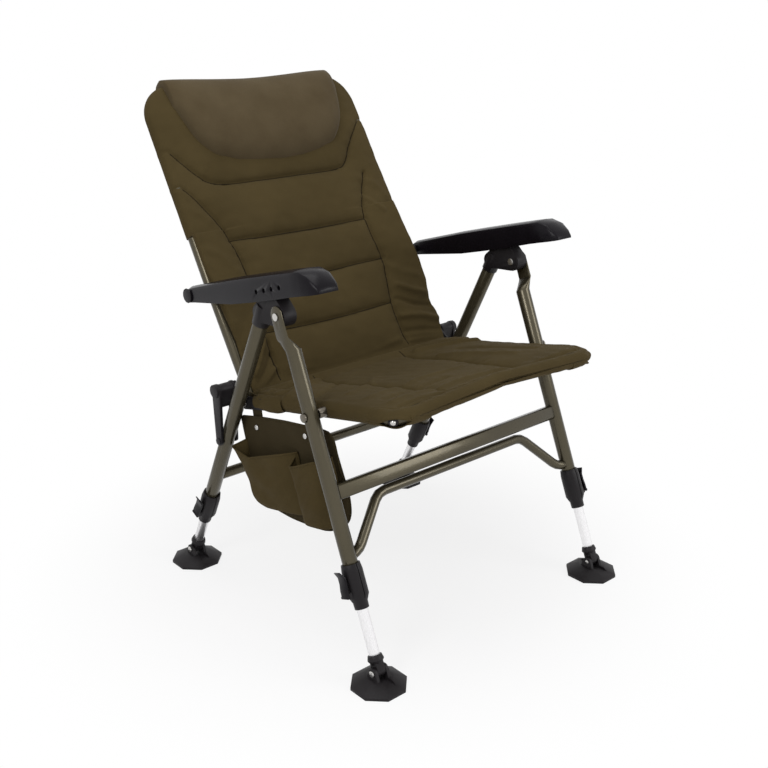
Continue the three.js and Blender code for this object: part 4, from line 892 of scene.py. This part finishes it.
def build_pillow():
    flat = PILLOW_HALF - PILLOW_ROUNDING
    ends = PILLOW_ROUNDING * np.sin(np.linspace(0.25, 1.45, 5))
    rings = []
    for x in np.concatenate([-flat - ends[::-1], np.linspace(-flat, flat, PILLOW_SLICES), flat + ends]):
        share = min(1.0, abs(x) / flat)
        over = max(0.0, abs(x) - flat) / PILLOW_ROUNDING
        shrink = math.sqrt(max(0.02, 1 - over * over))
        bottom = blend_between(PILLOW_BOTTOM, PILLOW_TOP, soft_table(PILLOW_RISE, share))
        top = PILLOW_TOP - PILLOW_TOP_DIP * (1 - share ** 2) ** 2
        height = top - bottom
        depth = PILLOW_THIN + (PILLOW_OUT - PILLOW_THIN) * soft_table(PILLOW_PLUMP, share)
        flap = max(PILLOW_FLAP_END, bottom + height * 0.6)
        dots = [(bottom + height * up, depth * out) for up, out in PILLOW_PROFILE]
        dots += [(top, 2.0), (top - 4, -PILLOW_FLAP_DEPTH * 0.7), (top - 14, -PILLOW_FLAP_DEPTH),
                 (flap, -PILLOW_FLAP_DEPTH), (flap - 1, -PILLOW_FLAP_DEPTH + 3),
                 (bottom + height * 0.5, 0.0), (bottom + height * 0.1, 4.0)]
        loop = closed_curve(np.array(dots))
        middle = loop.mean(axis=0)
        v, out = (middle + (loop - middle) * shrink).T
        xx = np.full_like(v, x)
        swell = np.clip(out / PILLOW_OUT, 0, 1)
        out = out + swell * (0.8 * ripple(xx, v, 90, 31) + 0.3 * ripple(xx, v, 28, 32))
        rings.append(back_plane.at(x, v, out))
    pillow = lofted("headrest_cushion", rings)
    dress(pillow, fleece, "back")
    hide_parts("headrest_pillow")


# Side pocket: a hanging panel with two open pouches, in mm as (y, z) at an x
POCKET_INNER = 266.9
POCKET_CLOTH = 2.2
POCKET_CURL_Y = -187.0
POCKET_CURL = 35.0
POCKET_GRID = (40, 90)
POCKET_RIM = 2.1
POCKET_TOP = [(43, 318), (46, 335), (60, 366), (61, 369), (58, 370), (0, 384), (-80, 401), (-150, 412),
              (-196, 419), (-208, 412), (-215, 385), (-220, 345)]
POCKET_BOTTOM = [(42, 302), (38, 262), (20, 226), (0, 211), (-40, 210), (-90, 212), (-150, 217), (-196, 226),
                 (-228, 234), (-240, 250), (-238, 290), (-226, 330)]

# Pouches, as (y, z, out of the panel) along the lip and the base
MAIN_LIP = [(43, 327, 1), (66, 310, 19), (68, 309, 20), (64, 308, 21), (10, 307, 27), (2, 308, 28),
            (-50, 329, 27), (-88, 343, 22), (-113, 351, 9), (-119, 353, 2)]
MAIN_BASE = [(34, 268, 1), (20, 244, 8), (4, 224, 14), (-8, 216, 17), (-28, 216, 17), (-60, 221, 17),
             (-100, 228, 14), (-134, 234, 8), (-140, 236, 2)]
SLIM_LIP = [(-114, 347, 2), (-124, 334, 25), (-126, 333, 27), (-134, 336, 28), (-165, 351, 28),
            (-190, 363, 24), (-204, 370, 12), (-208, 372, 2)]
SLIM_BASE = [(-140, 232, 3), (-148, 228, 13), (-158, 228, 18), (-176, 231, 19), (-196, 235, 18),
             (-214, 240, 13), (-222, 244, 3)]
POUCHES = [("pocket_main_pouch", MAIN_LIP, MAIN_BASE, 9.0, 43, (0.225, 0.125), 0.021),
           ("pocket_slim_pouch", SLIM_LIP, SLIM_BASE, 7.0, 47, (0.14, 0.135), 0.0162)]
POUCH_GRID = (34, 60)
POUCH_CLOTH = 1.8
POUCH_BINDING = 2.0
POUCH_LEAST = 1.2


def pocket_place(y, z, out):
    """A place on the pocket: the panel hangs flat, then curls inboard ahead of the curl line."""
    y, z, out = np.broadcast_arrays(np.asarray(y, float), z, out)
    past = np.maximum(0, POCKET_CURL_Y - y) / POCKET_CURL
    radius = POCKET_CURL + out
    x = -POCKET_INNER - out + radius * (1 - np.cos(past))
    flat_y = np.where(past > 0, POCKET_CURL_Y - radius * np.sin(past), y)
    return np.stack([x, flat_y, z], axis=-1) * MM


def pouch(name, lip, base, belly, seed):
    """A pouch's outer cloth, swelling between its base and its open lip, and the lip's binding."""
    rows, cols = POUCH_GRID
    t = np.linspace(0, 1, rows)[:, None]
    low, top = (even_line(rounded_line(line), cols).T[:, None] for line in (base, lip))
    across = np.linspace(0, 1, cols)[None, :]
    flare = blend_between(t, t ** 2.6, 0.75)
    y = blend_between(low[0], top[0], flare)
    z = blend_between(low[1], top[1], t)
    out = blend_between(low[2], top[2], blend_between(t, flare, 0.4))
    out = out + belly * np.sin(math.pi * across) ** 0.6 * np.sin(math.pi * t ** 0.8) ** 0.8
    slack = np.sin(math.pi * across) * np.sin(math.pi * (0.12 + 0.88 * t) * 0.92)
    out = out + (3.0 * ripple(y, z, 55, seed) + 1.6 * ripple(y + 0.6 * z, 0.25 * z, 26, seed + 1)) * slack
    out = np.maximum(out, POUCH_LEAST)
    cloth = sheet_mesh(name, pocket_place(y, z, out + POCKET_CLOTH), (1, 0, 0), POUCH_CLOTH * MM)
    edge = pocket_place(y[-1], z[-1], out[-1] + POCKET_CLOTH - POUCH_CLOTH / 2)
    binding = swept(name + "_binding", edge, POUCH_BINDING * MM, 10, 1.0, (0, 0, 1))
    return cloth, binding


def build_pocket():
    rows, cols = POCKET_GRID
    t = np.linspace(0, 1, rows)[:, None]
    low, top = (even_line(rounded_line(line), cols).T[:, None] for line in (POCKET_BOTTOM, POCKET_TOP))
    y, z = (blend_between(low[k], top[k], t) for k in range(2))
    wave = 1.1 * ripple(y, z, 120, 41) + 0.5 * ripple(y, z, 40, 42)
    panel = sheet_mesh("pocket_panel", pocket_place(y, z, wave + POCKET_CLOTH), (1, 0, 0), POCKET_CLOTH * MM)
    dots = np.stack([y, z, wave + POCKET_CLOTH / 2], axis=2)
    edges = np.vstack([dots[-1], dots[::-1, -1], dots[0, ::-1], dots[:, 0]])
    rim = swept("pocket_rim", pocket_place(*edges.T)[::2], POCKET_RIM * MM, 8, 1.0, (1, 0.2, 0.1))
    pieces = [panel, rim]
    for name, lip, base, belly, seed, flat, area in POUCHES:
        cloth, binding = pouch(name, lip, base, belly, seed)
        pieces += [cloth, binding]
    for piece in pieces:
        # the panel's darker canvas is partly painted shade, darkening the insides of the pouches
        dress(piece, canvas if "pouch" in piece.name else canvas_dark_and_shade, "seat")
    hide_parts("side_pocket")
    return pieces


# Straps in metres, press studs in mm
STRAP_LEAN = {"rear": -0.012, "front": 0}
STRAP_GAP = 0.0015
STRAP_BOW = 0.0012
STRAP_CLOTH = 0.0016
STRAP_GRID = (26, 9)
STUD_PROFILE = [(0.1, 0), (5.2, 0), (5.4, 0.8), (5.0, 1.6), (4.2, 2.0), (3.4, 1.5), (2.8, 1.9), (1.6, 2.7),
                (0.1, 3.0)]
STUD_AT = {"rear": (8, 362), "front": (-142, 392)}
STUD_OUT = 3.4


def build_straps_and_studs():
    pieces = []
    for place, lean in STRAP_LEAN.items():
        low, high = (np.array(corner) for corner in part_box("pocket_strap_" + place))
        rows = np.linspace(high[2], low[2], STRAP_GRID[0])
        share = np.linspace(0, 1, STRAP_GRID[0])
        x = -POCKET_INNER * MM + STRAP_GAP + STRAP_BOW * np.sin(share * math.pi)
        ys = np.linspace(low[1], high[1], STRAP_GRID[1])
        grid = np.array([[(x[i], y + lean * share[i], z) for y in ys] for i, z in enumerate(rows)])
        strap = sheet_mesh("pocket_webbing_" + place, grid, (1, 0, 0), STRAP_CLOTH)
        dress(strap, canvas_dark_and_shade, "seat")
        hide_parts("pocket_strap_" + place)
        pieces.append(strap)
    for place, (y, z) in STUD_AT.items():
        stud = turned("pocket_snap_" + place, STUD_PROFILE, pocket_place(y, z, STUD_OUT), (-1, 0, 0), 24)
        pieces.append(dress(stud, bright_steel, "seat"))
    return pieces


# Front corners of the seat: the cover's sleeve round the tube bend, cut open where the rivet sits
CORNER_BEND = 38.0
CORNER_SLEEVE = 14.8
CORNER_OPEN = (18.0, 80.0)
CORNER_SWEEP = (-26, 112)
CORNER_BEYOND = 1.1
CORNER_SLIT = -24
CORNER_GAP = (0.6, 30)
CORNER_HEM = (3.6, 0.09)
CORNER_CLOTH = 1.4
CORNER_GRID = (70, 41)
RIVET_DEGREES = 52.0
RIVET_OUT = 12.0
RIVET_TILT = 0.35
WASHER_PROFILE = [(0.1, -2.5), (8.6, -2.5), (9.0, -1.6), (8.8, 0.4), (8.2, 1.2), (0.1, 1.2)]
RIVET_PROFILE = [(0.1, 0), (5.0, 0), (5.4, 1.2), (5.1, 2.2), (4.4, 3.6), (3.0, 4.7), (1.4, 5.2), (0.1, 5.3)]


def corner_frame(side, degrees):
    """Centre of the bent tube and the way out of the bend there."""
    turn = math.radians(degrees)
    x = SEAT_TUBE - CORNER_BEND * (1 - math.sin(turn))
    s = -SEAT_BAR + CORNER_BEND * (1 - math.cos(turn))
    centre = seat_plane.at(side * x, s, float(seat_rise(np.array(x), s)))
    away = side * math.sin(turn) * X_AXIS - math.cos(turn) * seat_plane.up
    return centre, away


def build_corner(word, side):
    rows = []
    low, high = CORNER_OPEN
    share = np.linspace(0, 1, CORNER_GRID[1])
    for degrees in np.linspace(*CORNER_SWEEP, CORNER_GRID[0]):
        held = float(np.clip(degrees, 0, 90))
        centre, away = corner_frame(side, held)
        past = degrees - held
        if past:
            along = -side * X_AXIS if past < 0 else seat_plane.up
            centre = centre + along * abs(past) * CORNER_BEYOND * MM
        opened = max(0.0, math.sin(math.pi * (degrees - low) / (high - low))) if low < degrees < high else 0.0
        gap = CORNER_GAP[0] + CORNER_GAP[1] * opened
        angles = np.radians(CORNER_SLIT + gap + share * (360 - 2 * gap))
        hem = CORNER_HEM[0] * opened * (1 - ease(np.minimum(share, 1 - share), 0, CORNER_HEM[1]))
        radius = (CORNER_SLEEVE + hem + 0.5 * np.sin(angles * 3 + degrees / 9)) * MM
        rows.append(centre + np.outer(radius * np.cos(angles), away)
                    + np.outer(radius * np.sin(angles), seat_plane.out))
    rows = np.array(rows)
    inward = rows.mean(axis=1)[:, None] - rows
    inward /= np.linalg.norm(inward, axis=2, keepdims=True)
    sleeve = sheet_mesh(f"seat_corner_sleeve_{word}", rows, inward, CORNER_CLOTH * MM)
    dress(sleeve, canvas, "seat")
    centre, away = corner_frame(side, RIVET_DEGREES)
    tilted = away - RIVET_TILT * seat_plane.out
    tilted /= np.linalg.norm(tilted)
    for name, profile, finish, slot_name in (("washer", WASHER_PROFILE, black_plastic, "black_plastic"),
                                             ("rivet", RIVET_PROFILE, bright_steel, "bright_steel")):
        made = turned(f"seat_corner_{name}_{word}", profile, centre + tilted * RIVET_OUT * MM, tilted, 32)
        dress(made, finish, "seat")


# The seat cover over the hinge plate, down its outer side and under it, as (x, up)
PLATE_COVER = [(250.0, 16.0), (258.0, 15.6), (264.0, 14.6), (269.0, 11.4), (271.2, 5.0), (271.6, -3.0),
               (270.8, -9.0), (267.0, -13.6), (260.0, -16.4), (252.0, -17.2)]
PLATE_COVER_RUN = (126.0, 206.0)
PLATE_COVER_SIZE = (0.72, 1.0)
PLATE_COVER_LIFT = 6.0
PLATE_COVER_FOLD = 0.9
PLATE_COVER_CLOTH = 1.2
PLATE_COVER_GRID = (36, 30)


def build_plate_cover(word, side):
    outer, upper = even_line(rounded_line(PLATE_COVER), PLATE_COVER_GRID[1]).T
    rows = []
    for share in np.linspace(0, 1, PLATE_COVER_GRID[0]):
        s = blend_between(*PLATE_COVER_RUN, share)
        size = blend_between(*PLATE_COVER_SIZE, ease(share, 0, 0.3))
        x = SEAT_TUBE + (outer - SEAT_TUBE) * size
        lift = PLATE_COVER_LIFT * ease(share, 0.5, 0.5)
        up = upper * size + lift * np.clip(-upper / 17, 0, 1)
        fold = PLATE_COVER_FOLD * np.sin(share * 21 + upper / 4.0) * ease(share, 0.2, 0.3) * (upper > -12)
        x = x + ease(share, 0.9, 0.1) + 0.3 * fold
        rows.append(seat_plane.at(side * x, s + 2 * np.sin(upper / 9), up + 0.5 * fold))
    cover = sheet_mesh(f"seat_plate_cover_{word}", rows, seat_plane.out * 0.3 + side * X_AXIS * 0.5,
                       PLATE_COVER_CLOTH * MM)
    dress(cover, canvas, None)
    tuple(seat_plane.at(0, 176, 0))
    tuple(seat_plane.at(0, SEAT_CREASE - 3, 0))
    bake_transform(cover)


build_back_pad()
build_seat_pad()
build_pillow()
for piece in build_pocket() + build_straps_and_studs():
    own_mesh(piece)
for word, side in (("right", -1), ("left", 1)):
    build_corner(word, side)
    build_plate_cover(word, side)


# Stage: the floor and the world glow white only for the rays that show them
STAGE_REACH = 6.0
FLOOR_DROP = 0.0005
FLOOR_COLOUR = (0.96, 0.95, 0.96, 1)
FLOOR_GLOW = 0.8
FLOOR_FADE = (0.3, 0.78)
WORLD_LIGHT = 0.34
WHITE = (1, 1, 1, 1)
LAMPS = [("overhead", (-0.2, 0.1, 2.5), (0, 0, 0.4), (1.6, 1.6), 17),
         ("key", (-2.3, -0.7, 1.9), (0, 0, 0.45), (0.8, 1.1), 19),
         ("fill", (1.4, -2.6, 1.6), (0, 0, 0.4), (1.4, 1.4), 29)]

# The camera as fitted to the photograph: focal length and width in pixels, degrees down and round
CAMERA_PLACE = (-1.3289, -1.5562, 1.1441)
CAMERA_FOCAL = 1081.3
CAMERA_WIDTH = 768
CAMERA_DOWN = 20.36
CAMERA_ROUND = -41.34
CAMERA_SENSOR = 36.0


def seen_rays(tree):
    """A socket that is 1 for camera, glossy and transmission rays and 0 for all others."""
    ray = put(tree, "ShaderNodeLightPath")
    seen = ray.outputs["Is Camera Ray"]
    for kind in ("Is Glossy Ray", "Is Transmission Ray"):
        larger = put(tree, "ShaderNodeMath", {0: seen, 1: ray.outputs[kind]}, operation="MAXIMUM")
        seen = larger.outputs["Value"]
    return seen


def mix_shaders(tree, factor, first, second, end):
    """Blends two shaders by a factor and links the result to an output's surface."""
    mixer = put(tree, "ShaderNodeMixShader", {0: factor, 1: first, 2: second})
    tree.links.new(mixer.outputs["Shader"], tree.nodes[end].inputs["Surface"])


def build_floor():
    corners = [(a * STAGE_REACH, b * STAGE_REACH, 0) for a, b in ((-1, -1), (1, -1), (1, 1), (-1, 1))]
    floor = mesh_object("floor", corners, [(0, 1, 2, 3)])
    floor.location.z = -FLOOR_DROP
    finish = Finish("floor", 0.9)
    finish.set(Base_Color=FLOOR_COLOUR)
    glow = finish.socket("ShaderNodeEmission", "Emission", {"Color": WHITE, "Strength": 1.0})
    distance = finish.socket("ShaderNodeVectorMath", "Value", {0: finish.place}, operation="LENGTH")
    near, far = FLOOR_FADE
    inputs = {"From Min": near, "From Max": far, "To Min": FLOOR_GLOW, "Value": distance}
    fade = finish.socket("ShaderNodeMapRange", "Result", inputs, interpolation_type="SMOOTHSTEP")
    seen = finish.math("MULTIPLY", seen_rays(finish.tree), fade)
    mix_shaders(finish.tree, seen, finish.shader.outputs["BSDF"], glow, "Material Output")
    floor.data.materials.append(finish.material)


def build_world():
    world = bpy.data.worlds.new("studio")
    bpy.context.scene.world = world
    world.use_nodes = True
    tree = world.node_tree
    lights = [put(tree, "ShaderNodeBackground", {"Color": WHITE, "Strength": strength}).outputs["Background"]
              for strength in (WORLD_LIGHT, 1.0)]
    mix_shaders(tree, seen_rays(tree), *lights, "World Output")


def area_lamp(name, place, target, size, power):
    light = bpy.data.lights.new(name, "AREA")
    light.shape = "RECTANGLE"
    light.size, light.size_y = size
    light.energy = power
    lamp = linked(name, light)
    lamp.location = place
    lamp.rotation_euler = (Vector(target) - Vector(place)).to_track_quat("-Z", "Y").to_euler()


def build_camera():
    camera = bpy.data.cameras.new("camera")
    camera.sensor_width = CAMERA_SENSOR
    camera.lens = CAMERA_FOCAL / CAMERA_WIDTH * CAMERA_SENSOR
    holder = linked("camera", camera)
    holder.location = CAMERA_PLACE
    holder.rotation_euler = (math.radians(90 - CAMERA_DOWN), 0, math.radians(CAMERA_ROUND))
    bpy.context.scene.camera = holder


build_floor()
build_world()
for lamp in LAMPS:
    area_lamp(*lamp)
build_camera()
bpy.context.scene.view_settings.view_transform = "Standard"
